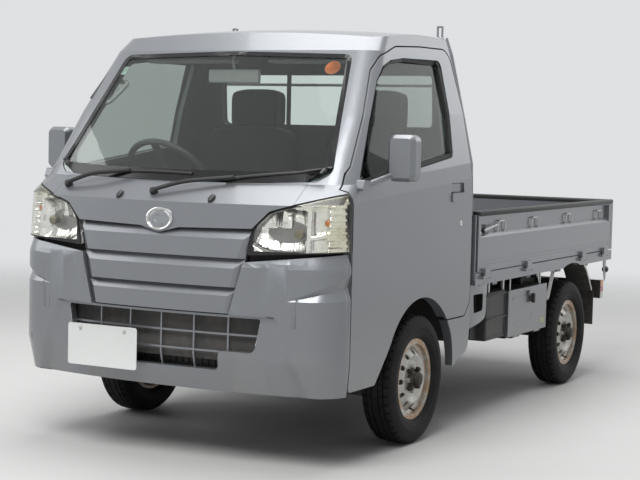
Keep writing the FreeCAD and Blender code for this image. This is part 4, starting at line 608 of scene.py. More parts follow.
def metal_finish(name, colour, roughness, rust=0.4, scale=30.0):
    f = Finish(name, colour, roughness, 0.8)
    patches = f.spread(f.noise(scale, 9.0, 0.7), 0.45, 0.7)
    tone = f.blend(f.noise(scale * 4, 5.0, 0.7), shade(colour, 0.75), shade(colour, 1.2))
    f.laid_over(tone, (0.22, 0.12, 0.065), f.times(patches, rust), (roughness, 0.8))
    f.bump(f.noise(scale * 9, 5.0, 0.7), 0.0012, 0.5)
    return f.material


def lamp_finish():
    """red lens with a clear band and an amber band across it"""
    f = Finish("tail_lens", (0.55, 0.02, 0.015), 0.08, 0.0, Coat_Weight=0.6, Coat_Roughness=0.04)
    level = f.axis("Z")
    red = (0.50, 0.015, 0.012)
    amber = f.spread(level, 0.4645, 0.4655)
    clear = f.spread(level, 0.4355, 0.4345)
    tone = f.blend(amber, red, (0.85, 0.30, 0.02))
    tone = f.blend(clear, tone, (0.80, 0.78, 0.74))
    flutes = f.weave(70.0)
    f.link("Base Color", f.blend(f.times(flutes, 0.25), tone, (0.15, 0.03, 0.02)))
    f.bump(flutes, 0.0012, 0.5)
    return f.material


def rib_finish():
    """pale ribbed plastic behind the lamp's outer edge, gone yellow"""
    f = Finish("lamp_ribs", (0.58, 0.57, 0.52), 0.30, 0.35)
    ribs = f.spread(f.maths("SINE", f.times(f.axis("Z"), 520.0)), -1.0, 1.0)
    f.link("Base Color", f.blend(ribs, (0.44, 0.43, 0.39), (0.74, 0.73, 0.66)))
    f.bump(ribs, 0.001, 0.5)
    return f.material


def plain_finish(name, colour, roughness, metallic=0.0, wear=1.0, **sockets):
    """a small part's finish with faint speckle and haze"""
    f = Finish(name, colour, roughness, metallic, **sockets)
    haze = f.times(f.spread(f.noise(35.0, 7.0, 0.6), 0.35, 0.8), wear)
    f.laid_over(f.blend(haze, colour, shade(colour, 0.82)), shade(colour, 0.6, 0.05), f.times(haze, 0.2),
           (roughness, min(1.0, roughness + 0.12)))
    f.bump(f.noise(300.0, 4.0), 0.0003, 0.3)
    return f.material


# What a user would change
class TruckColours(bpy.types.PropertyGroup):
    paint: bpy.props.FloatVectorProperty(name="Body paint", description="Colour of the painted body",
                                         subtype="COLOR", default=(0.235, 0.245, 0.262), min=0, max=1)
    seat: bpy.props.FloatVectorProperty(name="Seat cloth", description="Colour of the seat covers",
                                        subtype="COLOR", default=(0.014, 0.015, 0.016), min=0, max=1)
    cabin: bpy.props.FloatVectorProperty(name="Cabin plastic", description="Colour of the dashboard and trim",
                                         subtype="COLOR", default=(0.050, 0.052, 0.054), min=0, max=1)


class TruckSizes(bpy.types.PropertyGroup):
    screen_border: bpy.props.FloatProperty(name="Windscreen border", description="Width of the black edge",
                                           default=0.022, unit="LENGTH")
    door_border: bpy.props.FloatProperty(name="Door glass border", description="Width of the rubber run",
                                         default=0.017, unit="LENGTH")
    tread_depth: bpy.props.FloatProperty(name="Tread depth", description="Depth of the tyre's grooves",
                                         default=0.0062, unit="LENGTH")
    plate_width: bpy.props.FloatProperty(name="Plate width", description="Width of the blank plates",
                                         default=0.330, unit="LENGTH")
    plate_height: bpy.props.FloatProperty(name="Plate height", description="Height of the blank plates",
                                          default=0.165, unit="LENGTH")


class TruckStage(bpy.types.PropertyGroup):
    lens: bpy.props.FloatProperty(name="Lens", description="Focal length of the view", default=87.26,
                                  subtype="DISTANCE_CAMERA")
    key_power: bpy.props.FloatProperty(name="Key light", description="Power of the large soft light",
                                       default=300.0, subtype="POWER")
    sky: bpy.props.FloatProperty(name="Surround", description="Strength of the even light", default=0.34)


def sizes():
    return bpy.context.scene.truck_sizes


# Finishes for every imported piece
CAD_FINISHES = {
    "body_paint": "paint", "trim_black": "trim", "window_glass": "glass", "lamp_lens": "lens",
    "lamp_bowl": "bowl", "rear_lens": "rear_lens", "chassis_black": "chassis", "wheel_steel": "wheel",
    "tyre_rubber": "tyre", "flap_rubber": "flap", "engine_metal": "engine", "pipe_metal": "pipe",
    "cabin_plastic": "cabin", "seat_cloth": "cloth", "cabin_paint": "floor",
}


class TRUCK_OT_finishes(bpy.types.Operator):
    """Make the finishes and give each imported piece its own"""
    bl_idname = "truck.finishes"
    bl_label = "Finishes"

    def execute(self, context):
        colours = context.scene.truck_colours
        cabin = tuple(colours.cabin)
        FINISHES.update(
            paint=paint_finish(tuple(colours.paint)),
            trim=black_finish("trim_black", (0.022, 0.022, 0.023), 0.48, 0.22),
            frit=plain_finish("black_border", (0.008, 0.008, 0.009), 0.16),
            rubber=black_finish("seal_rubber", (0.018, 0.018, 0.018), 0.62, 0.15),
            glass=glass_finish("window_glass", (0.84, 0.90, 0.87), 0.006),
            # the door glass is tinted far darker than the windscreen: painted shade of the dark cabin behind
            # it
            side_glass=glass_finish("side_glass", (0.36, 0.40, 0.375), 0.006, 1.20),
            lens=lens_finish(),
            bowl=plain_finish("lamp_housing", (0.30, 0.30, 0.29), 0.35, 0.5),
            chrome=chrome_finish("bright_metal", (0.70, 0.70, 0.69), 0.14),
            satin=plain_finish("satin_metal", (0.34, 0.35, 0.36), 0.30, 0.85),
            cell=plain_finish("lamp_cell", (0.045, 0.045, 0.047), 0.22, 0.6),
            ribbed=rib_finish(),
            shield=plain_finish("bulb_shield", (0.24, 0.22, 0.15), 0.28, 0.7),
            hub=metal_finish("hub_steel", (0.045, 0.043, 0.040), 0.50, 0.25),
            lining=plastic_finish("cabin_lining", (0.060, 0.062, 0.060), 0.75),
            # dark trim for the cab's inner faces, its darkness partly painted shade of the cabin
            reflector=chrome_finish("lamp_reflector", (0.88, 0.88, 0.86), 0.10),
            rear_lens=lamp_finish(),
            chassis=black_finish("chassis_black", (0.020, 0.020, 0.021), 0.60, 0.55, 300.0, 0.001),
            wheel=wheel_finish(),
            tyre=tyre_finish(),
            flap=black_finish("flap_rubber", (0.030, 0.029, 0.028), 0.80, 0.6, 240.0, 0.001),
            engine=metal_finish("engine_metal", (0.16, 0.16, 0.155), 0.55, 0.35),
            pipe=metal_finish("pipe_metal", (0.36, 0.33, 0.29), 0.42, 0.6),
            cabin=plastic_finish("cabin_plastic", cabin),
            pale=plastic_finish("pale_plastic", (0.36, 0.36, 0.35), 0.55),
            cloth=cloth_finish("seat_cloth", tuple(colours.seat)),
            floor=black_finish("cabin_floor", (0.045, 0.045, 0.046), 0.75, 0.35, 180.0, 0.001, 1.2),
            blank=plain_finish("plate_white", (0.74, 0.75, 0.74), 0.38, 0.0, 0.12),
            amber=plain_finish("amber_glass", (0.80, 0.22, 0.01), 0.12, 0.0, Coat_Weight=0.5),
            sticker=plain_finish("round_sticker", (0.62, 0.17, 0.03), 0.45),
            label=plain_finish("small_sticker", (0.52, 0.68, 0.60), 0.45, 0.0, 0.2),
            lid_label=plain_finish("lid_sticker", (0.50, 0.50, 0.33), 0.50),
            cap=black_finish("gate_cap", (0.009, 0.009, 0.009), 0.46, 0.06),
            galvanised=metal_finish("bright_steel", (0.55, 0.55, 0.54), 0.36, 0.10),
        )
        for part in frame["record"]["subparts"]:
            node = NODES[part["node"]]
            name = CAD_FINISHES[part["material_slot"]]
            if part["node"].startswith("gate_cap"):
                name = "cap"
            # the door glass takes the darker tint, which is painted shade of the cabin behind it
            if part["node"].startswith("door_glass"):
                name = "side_glass"
            node.data.materials.clear()
            node.data.materials.append(FINISHES[name])
        return {"FINISHED"}


# Tyres
TYRE_HALF = (
    (12.5, 268.0), (13.0, 261.8), (17.0, 261.8), (17.5, 268.0), (34.0, 267.4), (34.6, 261.4), (38.6, 261.4),
    (39.2, 267.0), (52.0, 265.4), (58.0, 260.5), (61.0, 255.0), (62.2, 255.4), (64.5, 250.0), (69.5, 236.0),
    (72.0, 221.0), (72.3, 210.0), (71.2, 208.6), (71.0, 200.0), (67.5, 188.0), (61.0, 177.5), (54.0, 171.5),
    (48.0, 169.0), (44.6, 164.0), (44.6, 154.0))


# band across the tread, least radius, every which step, rim left round a cut, share of the full depth
TREAD_STEPS = 132
TREAD_CUTS = ((0.040, 0.060, 0.258, 3, 0, 0.0022, 0.8), (0.018, 0.033, 0.266, 4, 1, 0.0032, 0.5))


class TRUCK_OT_tyres(bpy.types.Operator):
    """Turn a tyre, cut its tread and fit one to each wheel"""
    bl_idname = "truck.tyres"
    bl_label = "Tyres"

    def execute(self, context):
        half = [(x / 1000, r / 1000) for x, r in TYRE_HALF]
        profile = half + [(-x, r) for x, r in reversed(half)]
        master = turned(profile, (0, 0, 0), (1, 0, 0), TREAD_STEPS)
        step = 2 * math.pi / TREAD_STEPS
        for inner, outer, least, every, first, edge, share in TREAD_CUTS:
            def in_cut(centre, normal):
                on_band = inner < abs(centre.x) < outer and math.hypot(centre.y, centre.z) > least
                index = math.floor(math.atan2(centre.z, centre.y) / step + 0.5)
                return on_band and index % every == first

            inset_where(master, in_cut, edge, -sizes().tread_depth * share)
        for name, x, y in WHEELS:
            tyre = copied(master)
            tyre.data.transform(Matrix.Translation((x, y, WHEEL_Z)))
            done(tyre, "tread_" + name, "wheel_" + name, "tyre", 40, ["tyre_" + name])
        bpy.data.objects.remove(master)
        return {"FINISHED"}


# Wheel nuts
DISC_FACE = 0.040
NUT_CIRCLE = 0.050
HUB_CAP = ((0.020, 0.0), (0.020, 0.0312), (0.034, 0.0306), (0.040, 0.026), (0.043, 0.015), (0.0435, 0.0))


def wheel_nut():
    """a tapered hexagon nut with a raised centre"""
    bpy.ops.mesh.primitive_cylinder_add(vertices=6, radius=0.0115, depth=0.016, rotation=(0, math.pi / 2, 0))
    nut = bpy.context.object
    settle(nut)
    soften(nut, 0.0012)
    choose(nut, lambda centre, normal: normal.x > 0.9)
    bpy.ops.mesh.inset(thickness=0.003)
    bpy.ops.mesh.extrude_region_move(TRANSFORM_OT_translate={"value": (0.004, 0, 0)})
    leave()
    return nut


class TRUCK_OT_wheel_nuts(bpy.types.Operator):
    """Fit the nuts, the hub cap and the valve of each wheel"""
    bl_idname = "truck.wheel_nuts"
    bl_label = "Wheel nuts"

    def execute(self, context):
        nut = wheel_nut()
        for name, x, y in WHEELS:
            side = 1 if x > 0 else -1
            parts = []
            for index in range(4):
                angle = math.pi / 4 + index * math.pi / 2
                twin = copied(nut)
                place = Matrix.Translation((DISC_FACE + 0.010, 0, NUT_CIRCLE))
                twin.data.transform(Matrix.Rotation(angle, 4, "X") @ place)
                parts.append(twin)
            cap = [(DISC_FACE + along, radius) for along, radius in HUB_CAP]
            parts.append(turned(cap, (0, 0, 0), (1, 0, 0), 40))
            parts.append(barrel((0.030, 0.0, -0.122), (0.058, 0.0, -0.133), 0.0042, 0.001, 12))
            piece = joined(parts)
            piece.data.transform(Matrix.Translation((x, y, WHEEL_Z)) @ Matrix.Diagonal((side, 1, 1, 1)))
            tidy(piece)
            done(piece, "nuts_" + name, "wheel_" + name, "hub", 40)
        bpy.data.objects.remove(nut)
        return {"FINISHED"}


# Glass edges
FOOT_START, FOOT_REACH, FOOT_EXTRA = 0.012, 0.075, 0.026


class TRUCK_OT_glass_edges(bpy.types.Operator):
    """Add the black borders and rubber runs of the panes"""
    bl_idname = "truck.glass_edges"
    bl_label = "Glass edges"

    def execute(self, context):
        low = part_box("windscreen")[0].z

        def deeper(point):
            """widen the windscreen's border along its foot"""
            share = max(0.0, 1.0 - (point.z - low) / FOOT_REACH)
            if point.z > low + FOOT_START:
                return point + Vector((0, 0, FOOT_EXTRA * min(1.0, share * 2)))
            return point

        border = edge_band("windscreen", lambda c, n: n.y < -0.3, sizes().screen_border, 0.0016,
                           (0, -0.0004, 0.0002), deeper)
        done(border, "windscreen_border", "body", "frit")
        border = edge_band("rear_window", lambda c, n: n.y > 0.3, 0.022, 0.0030, (0, 0.0004, 0))
        done(border, "rear_window_border", "body", "rubber")
        for side, word in ((1, "left"), (-1, "right")):
            run = edge_band("door_glass_" + word, lambda c, n: n.x * side > 0.3, sizes().door_border, 0.0130,
                            (side * 0.0002, 0, 0), self.wider_run)
            done(run, "door_run_" + word, "door_" + word, "rubber")
        low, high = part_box("rear_window")
        bars = [slab((x - 0.011, low.y - 0.006, low.z + 0.004),
                     (x + 0.011, low.y + 0.002, high.z - 0.006), 0.003) for x in (-0.190, 0.190)]
        done(joined(bars), "rear_window_bars", "body", "trim")
        return {"FINISHED"}

    def wider_run(self, point):
        """widen the run along the pane's foot and its rear edge"""
        low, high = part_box("door_glass_left")
        inner = Vector(point)
        if low.z + 0.008 < point.z < low.z + 0.030:
            inner.z += 0.007
        if high.y - 0.030 < point.y < high.y - 0.008:
            inner.y -= 0.011
        return inner


# Headlamps
LAMP_CLEAR = ((404, 830), (413, 906), (423, 930), (461, 967), (490, 980), (721, 1037), (731, 1016),
              (735, 836), (640, 832))
LAMP_EDGE = ((0.360, -0.812), (0.400, -0.815), (0.500, -0.803), (0.572, -0.790), (0.620, -0.772),
             (0.673, -0.740), (0.705, -0.705), (0.735, -0.655))
POST_IN, POST_OUT = 0.614, 0.631
CELL_OUT = 0.688
BOWL_X, BOWL_Z, BOWL_WIDE, BOWL_TALL, BOWL_DEEP = 0.545, 0.903, 0.165, 0.088, 0.052
BROW_X, BROW_Z, BROW_SHARE = 0.560, 0.913, 0.72
FLUTE, FLUTE_DEEP = 0.011, 0.0007
RIB, RIB_DEEP = 0.024, 0.004
LEDGE_Z, LEDGE_RISE, LEDGE_HALF = 0.884, 0.22, 0.010
LENS_GAP = 0.012
REFLECTOR_END = -674
SHIELD = ((0.000, 0.0), (0.000, 0.0105), (0.002, 0.0165), (0.006, 0.0190), (0.012, 0.0185), (0.020, 0.0150),
          (0.036, 0.0120), (0.044, 0.0120), (0.044, 0.0))
BULB = ((0.0, 0.0), (0.0015, 0.0070), (0.0065, 0.0125), (0.015, 0.0140), (0.026, 0.0105), (0.036, 0.0080),
        (0.036, 0.0))


def lamp_spot(x, behind, z):
    """a point at a distance behind the lens"""
    return Vector((x, between(LAMP_EDGE, x) + FRONT_AXLE_Y + behind, z))


def lamp_well(x, z):
    """how deep the reflector lies behind the lens at a point of the lamp's front view"""
    if x < POST_IN:
        t = 1 - ((x - BOWL_X) / BOWL_WIDE) ** 2 - ((z - BOWL_Z) / BOWL_TALL) ** 2
        depth = BOWL_DEEP * math.sqrt(t) if t > 0 else 0.0
        if z > BROW_Z and x < BROW_X:
            depth *= BROW_SHARE
        return depth + FLUTE_DEEP * math.sin(x * 2 * math.pi / FLUTE)
    if x < POST_OUT:
        return -0.004
    if x < CELL_OUT:
        ledge = LEDGE_Z + LEDGE_RISE * (x - POST_OUT)
        if abs(z - ledge) < LEDGE_HALF:
            return -0.002
        return 0.036 if z > ledge else 0.026
    return RIB_DEEP * math.sin(z * 2 * math.pi / RIB)


def lamp_outside(centre, normal):
    return centre.x > 0 and (normal.y < -0.25 or normal.x > 0.75) and abs(normal.z) < 0.6


class TRUCK_OT_headlamps(bpy.types.Operator):
    """Shape the reflectors, bulbs and black borders of the headlamps"""
    bl_idname = "truck.headlamps"
    bl_label = "Headlamps"

    def execute(self, context):
        way = Vector((-0.42, 0.90, 0)).normalized()
        shell = face_copy("headlamp_lenses", lamp_outside)
        for axis, start, stop, count in (((1, 0, 0), 0.385, 0.735, 80), ((0, 0, 1), 0.815, 1.045, 50)):
            for index in range(1, count):
                place = Vector(axis) * (start + (stop - start) * index / count)
                edit(shell)
                bpy.ops.mesh.bisect(plane_co=place, plane_no=axis)
                leave()
        for vertex in shell.data.vertices:
            co = vertex.co
            vertex.co = co + way * (LENS_GAP + lamp_well(co.x, co.z))
            vertex.co.y = min(vertex.co.y, spot(0, REFLECTOR_END, 0).y)
        modify(shell, "SOLIDIFY", thickness=0.0010, offset=-1)
        tidy(shell, 1e-6)
        both_sides(shell, "lamp_reflector", "body", "reflector", 40)
        border = face_copy("headlamp_lenses", lamp_outside)
        corners = [Vector((x / 1000, 0, z / 1000)) for x, z in LAMP_CLEAR]
        window_in(border, corners, (0, 1, 0))
        modify(border, "SOLIDIFY", thickness=0.0016, offset=1)
        tidy(border, 1e-6)
        both_sides(border, "lamp_border", "body", "frit", 25)
        x0, x1 = POST_OUT + 0.003, CELL_OUT - 0.003
        for name, low, high, deep in (("upper", 0.908, 0.986, 0.034), ("lower", 0.838, 0.870, 0.024)):
            points = [lamp_spot(x, 0.010 + deep, z)
                      for x, z in ((x0, low), (x1, low + 0.012), (x1, high), (x0, high))]
            cell = plate(rounded(points, 0.006, 4, True), (0.0, -0.004, 0.0), 0.001)
            inset_where(cell, lambda c, n: n.y < -0.4, 0.006, -0.002)
            both_sides(cell, "lamp_cell_" + name, "body", "cell")
        rows = []
        for z in (0.850, 0.874, 0.898, 0.922, 0.946, 0.970, 0.994):
            start, end = lamp_spot(CELL_OUT + 0.003, 0.012, z), lamp_spot(0.728, 0.010, z + 0.002)
            rows.append(barrel(start, end, 0.0035, 0.001, 12))
        both_sides(joined(rows), "lamp_ribs", "body", "ribbed")
        front = lamp_spot(0.622, 0.006, 0).y
        upright = [(POST_OUT - 0.007, front, z) for z in (0.840, 0.900, 0.985)]
        edge = tube(rounded(upright, 0.02), 0.0052, 4)
        ledge = tube([lamp_spot(POST_OUT, 0.009, 0.882), lamp_spot(0.660, 0.009, 0.890),
                      lamp_spot(0.694, 0.010, 0.899)], 0.0060, 4)
        both_sides(joined([edge, ledge]), "lamp_posts", "body", "chrome")
        shield = turned(SHIELD, lamp_spot(0.573, 0.008, 0.898), (-0.20, 0.97, 0), 36)
        both_sides(shield, "lamp_shield", "body", "shield")
        bulb = turned(BULB, lamp_spot(0.673, 0.006, 0.942), (-0.35, 0.93, 0), 32)
        both_sides(bulb, "turn_bulb", "body", "amber")
        return {"FINISHED"}


# Nose
WIPERS = (((-510, -752, 1044), (-400, -738, 1082), (-271, -710, 1100), (77, -722, 1099)),
          ((-59, -805, 1032), (60, -765, 1066), (211, -728, 1083), (601, -645, 1124)))
OVAL = Matrix.Diagonal((1.24, 0.92, 1.0, 1))
RING = ((0.000, 0.0), (0.000, 0.0478), (0.005, 0.0490), (0.0085, 0.0475), (0.0095, 0.0445), (0.0080, 0.0415),
        (0.0045, 0.0400), (0.0042, 0.0))
DISH = ((0.0043, 0.0), (0.0043, 0.0385), (0.0052, 0.0375), (0.0062, 0.0300), (0.0066, 0.0180),
        (0.0050, 0.0165), (0.0050, 0.0))
JET = ((-0.003, 0.0), (-0.003, 0.0100), (0.003, 0.0102), (0.008, 0.0085), (0.0105, 0.0048), (0.0112, 0.0))
BOLT = ((0.0, 0.0), (0.0, 0.0075), (0.003, 0.0070), (0.0045, 0.0045), (0.0045, 0.0))
ARM_CAP = ((-0.006, 0.0), (-0.006, 0.016), (0.012, 0.015), (0.020, 0.011), (0.022, 0.0))
CORE_FINS = 25


class TRUCK_OT_nose(bpy.types.Operator):
    """Add the ring, the blank plate, the washer jets, the wiper arms and the radiator core"""
    bl_idname = "truck.nose"
    bl_label = "Nose"

    def execute(self, context):
        place, facing = seat_on("front_panel", spot(0, -1000, 934), (0, 1, 0))
        for name, profile, kind in (("nose_ring", RING, "chrome"), ("nose_dish", DISH, "satin")):
            piece = turned(profile, steps=72)
            piece.data.transform(OVAL)
            stood(piece, place - facing * 0.0006, facing, (0, 0, 1))
            done(piece, name, "body", kind)
        self.blank_plate("front_plate", spot(-243, -880, 422))
        jets = []
        for x in (-0.210, 0.214):
            place, facing = seat_on("front_panel", (x, spot(0, -818, 0).y, 1.3), (0, 0, -1))
            jet = turned(JET, steps=32)
            jet.data.transform(Matrix.Diagonal((1.25, 2.3, 1.25, 1)))
            jets.append(stood(jet, place, facing, (0, -1, 0)))
        done(joined(jets), "washer_jets", "body", "trim")
        parts = []
        for places in WIPERS:
            parts += self.wiper(*(spot(*place) for place in places))
        done(joined(parts), "wiper_arms", "body", "cap", 35, ["wipers"])
        self.core()
        return {"FINISHED"}

    def wiper(self, pivot, elbow, start, end):
        """a capped arm, a blade with its lip, and the claws between them"""
        off = Vector((0, -0.80, 0.60))
        arm = tube(rounded([pivot + off * 0.016, elbow + off * 0.022, start.lerp(end, 0.12) + off * 0.020],
                           0.05, 6), 0.0085)
        cap = turned(ARM_CAP, pivot, off, 24)
        half = (end - start).length / 2
        lip = slab((-0.0040, -half, 0.0015), (0.0040, half, 0.0110), 0.001)
        stood(lip, (start + end) / 2, off, end - start)
        spine = tube([start.lerp(end, t) + off * (0.012 + 0.006 * math.sin(math.pi * t)) for t in
                      (0.02, 0.16, 0.33, 0.5, 0.67, 0.84, 0.98)], 0.0072)
        claws = [barrel(start.lerp(end, t) + off * 0.006, start.lerp(end, t) + off * 0.018, 0.0085, 0.001, 12)
                 for t in (0.16, 0.5, 0.84)]
        return [arm, cap, lip, spine] + claws

    def core(self):
        """the dark radiator behind the bumper's opening"""
        low, high = spot(-360, -772, 352), spot(420, -750, 585)
        parts = [inset_where(slab(low, high, 0.003), lambda c, n: n.y < -0.9, 0.014, -0.006)]
        for index in range(1, CORE_FINS + 1):
            x = low.x + (high.x - low.x) * index / (CORE_FINS + 1)
            parts.append(slab((x - 0.0015, low.y + 0.001, low.z + 0.01),
                              (x + 0.0015, low.y + 0.008, high.z - 0.01), 0.0006, 1))
        done(joined(parts), "radiator_core", "body", "cap")

    def blank_plate(self, name, centre):
        """a blank plate with a pressed rim, two bolts and their brackets"""
        wide = sizes().plate_width / 2
        tall = sizes().plate_height / 2
        corners = [(-wide, -tall), (wide, -tall), (wide, tall), (-wide, tall)]
        points = rounded([centre + Vector((a, 0, b)) for a, b in corners], 0.012, 5, True)
        flat = plate(points, (0, -0.0012, 0))
        choose(flat, lambda c, n: n.y < -0.9)
        bpy.ops.mesh.inset(thickness=0.0035)
        bpy.ops.mesh.inset(thickness=0.0030, depth=-0.0010)
        leave()
        done(flat, name, "body", "blank")
        bolts = []
        for x in (-0.105, 0.105):
            bolts.append(turned(BOLT, centre + Vector((x, -0.001, tall - 0.017)), (0, -1, 0), 24))
            bolts.append(slab(centre + Vector((x - 0.010, 0.0005, tall - 0.030)),
                              centre + Vector((x + 0.010, 0.016, tall - 0.006)), 0.001))
        done(joined(bolts), name + "_bolts", "body", "galvanised")


# Bumper
CORNER = (0.550, -0.6615 + FRONT_AXLE_Y)
PATCH_LOW, PATCH_HIGH = 0.550, 0.785
FIELD_LOW, FIELD_HIGH = 0.2852, 0.598
FIELD_IN, FIELD_OUT = 0.470, 0.660
SKIN_INSIDE = 0.0215
CORNER_STEPS, CORNER_ROWS = 36, 22
DENT_DEEP, DENT_RUN = 0.0135, 0.4
DENT_FOOT, DENT_VALLEY, DENT_HEAD = (0.6475, 0.0055), (0.648, 0.058), (0.6485, 0.1045)
WALL_TOP, WALL_TALL = 0.601, 0.353
WALL_IN, WALL_OUT = (0.4838, 0.0988), (0.5008, 0.1446)
CLEAR_X, CLEAR_Z, ABOVE_Z, SUNK_X = 0.665, 0.530, 0.610, 0.466
DENT_LEVEL = 0.65


def sheet(rows, outward):
    """a grid of faces through rows of points, thickened inwards"""
    columns = len(rows[0])
    bpy.ops.mesh.primitive_grid_add(x_subdivisions=columns - 1, y_subdivisions=len(rows) - 1, size=2)
    obj = bpy.context.object
    settle(obj)
    points = [point for row in rows for point in row]
    if len(points) != len(obj.data.vertices):
        raise RuntimeError("the grid has another count of points")
    for vertex, point in zip(obj.data.vertices, points):
        vertex.co = point
    obj.data.update()
    if sum((face.normal.dot(Vector(outward)) for face in obj.data.polygons)) < 0:
        edit(obj)
        bpy.ops.mesh.flip_normals()
        leave()
    return modify(obj, "SOLIDIFY", thickness=0.003, offset=-1)


def crown(points):
    """the pairs that a line laid over the others would touch"""
    hull = []
    for here in points:
        while len(hull) > 1:
            (x0, y0), (x1, y1) = hull[-2:]
            if (x1 - x0) * (here[1] - y0) - (y1 - y0) * (here[0] - x0) < 0:
                break
            hull.pop()
        hull.append(here)
    return hull


class TRUCK_OT_bumper(bpy.types.Operator):
    """Shape the bumper's corners: the folded dent and the slanted wall of the sunk field"""
    bl_idname = "truck.bumper"
    bl_label = "Bumper"

    def execute(self, context):
        self.measure()
        half = face_copy("front_bumper", lambda c, n: True)
        cuts = [((x, 0, 0), (1, 0, 0)) for x in (CORNER[0], FIELD_IN, FIELD_OUT)]
        cuts += [((0, 0, z), (0, 0, 1)) for z in (FIELD_LOW, PATCH_LOW, FIELD_HIGH, PATCH_HIGH)]
        edit(half)
        bpy.ops.mesh.bisect(plane_co=(0, 0, 0), plane_no=(1, 0, 0), clear_inner=True)
        leave()
        for place, way in cuts:
            edit(half)
            bpy.ops.mesh.bisect(plane_co=place, plane_no=way)
            leave()
        choose(half, self.worn_out)
        bpy.ops.mesh.delete(type="FACE")
        leave()
        half = joined([half, self.dent()] + self.fields())
        twin = copied(half)
        twin.data.transform(MIRROR)
        edit(twin)
        bpy.ops.mesh.flip_normals()
        leave()
        whole = joined([half, twin])
        edit(whole)
        bpy.ops.mesh.remove_doubles(threshold=1e-6)
        leave()
        done(whole, "bumper_skin", "body", "paint", 8, ["front_bumper"])
        return {"FINISHED"}

    def measure(self):
        """take the skin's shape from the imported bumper, without its cuts"""
        turns = [math.pi / 2 * i / CORNER_STEPS for i in range(CORNER_STEPS + 1)]
        self.ways = [Vector((math.sin(a), -math.cos(a), 0)) for a in turns]
        heights = [PATCH_LOW + (PATCH_HIGH - PATCH_LOW) * k / CORNER_ROWS for k in range(CORNER_ROWS + 1)]
        self.skins = [crown([(z, self.reach(way, z)) for z in heights]) for way in self.ways]
        levels = [FIELD_LOW + 0.001 + 0.0245 * k for k in range(14)]
        self.lean = [(z, self.front(CLEAR_X, z) - self.front(CLEAR_X, CLEAR_Z)) for z in levels]
        drop = between(self.lean, ABOVE_Z)
        self.outline = [(x, self.front(x, ABOVE_Z) - drop) for x in (0.46, 0.48, 0.50, 0.52, 0.54)]
        self.outline += [(x, self.front(x, CLEAR_Z)) for x in (0.58, 0.60, 0.62, 0.64, 0.66, 0.68)]

    def reach(self, way, z):
        centre = Vector((*CORNER, z))
        return (seat_on("front_bumper", centre + way * 0.6, -way)[0] - centre).length

    def front(self, x, z):
        return seat_on("front_bumper", (x, -2.2, z), (0, 1, 0))[0].y

    def skin(self, x, z):
        return between(self.outline, x) + between(self.lean, z)

    def worn_out(self, c, n):
        """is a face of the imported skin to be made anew"""
        if c.x > CORNER[0] and PATCH_LOW < c.z < PATCH_HIGH:
            out = Vector((c.x - CORNER[0], c.y - CORNER[1], 0))
            share = math.atan2(out.x, -out.y) / (math.pi / 2) * CORNER_STEPS
            index = min(CORNER_STEPS, max(0, round(share)))
            return between(self.skins[index], c.z) - out.length < SKIN_INSIDE and n.y < 0.9
        right = CORNER[0] if c.z > PATCH_LOW else FIELD_OUT
        if FIELD_IN < c.x < right and FIELD_LOW < c.z < FIELD_HIGH:
            return c.y - self.skin(c.x, c.z) < SKIN_INSIDE
        return False

    def dent(self):
        """the corner's skin with a dent that widens towards the wheel"""
        run = [0.0]
        axis = Vector((*CORNER, DENT_LEVEL))
        mids = [axis + way * between(skin, DENT_LEVEL) for way, skin in zip(self.ways, self.skins)]
        for one, other in zip(mids, mids[1:]):
            run.append(run[-1] + (other - one).length)
        columns = []
        for way, skin, along in zip(self.ways, self.skins, run):
            u = along / run[-1]
            foot, valley, head = (z + rise * u for z, rise in (DENT_FOOT, DENT_VALLEY, DENT_HEAD))
            deep = DENT_DEEP * min(1.0, u / DENT_RUN)
            column = []
            for z0, z1, d0, d1, steps in ((PATCH_LOW, foot, 0, 0, 6), (foot, valley, 0, deep, 5),
                                          (valley, head, deep, 0, 5), (head, PATCH_HIGH, 0, 0, 7)):
                for k in range(steps):
                    t = k / steps
                    column.append((z0 + (z1 - z0) * t, d0 + (d1 - d0) * t))
            column.append((PATCH_HIGH, 0))
            columns.append([Vector((*CORNER, z)) + way * (between(skin, z) - d) for z, d in column])
        return sheet([list(row) for row in zip(*columns)], (1, -1, 0))

    def fields(self):
        """the sunk field's end with its slanted wall, in two pieces"""
        pieces = []
        for low, high, right, count in (
                (FIELD_LOW, PATCH_LOW, FIELD_OUT, 22), (PATCH_LOW, FIELD_HIGH, CORNER[0], 5)):
            rows = []
            for k in range(count + 1):
                z = low + (high - low) * k / count
                fall = (WALL_TOP - z) / WALL_TALL
                wall_in, wall_out = (x + spread * fall for x, spread in (WALL_IN, WALL_OUT))
                sunk = self.front(SUNK_X, max(z, FIELD_LOW + 0.001)) - self.skin(SUNK_X, z)
                row = []
                for x0, x1, d0, d1, steps in (
                        (FIELD_IN, wall_in, sunk, sunk, 4), (wall_in, wall_out, sunk, 0, 4),
                        (wall_out, right, 0, 0, 6)):
                    for m in range(steps):
                        t = m / steps
                        x = x0 + (x1 - x0) * t
                        row.append(Vector((x, self.skin(x, z) + d0 + (d1 - d0) * t, z)))
                row.append(Vector((right, self.skin(right, z), z)))
                rows.append(row)
            pieces.append(sheet(rows, (0, -1, 0)))
        return pieces


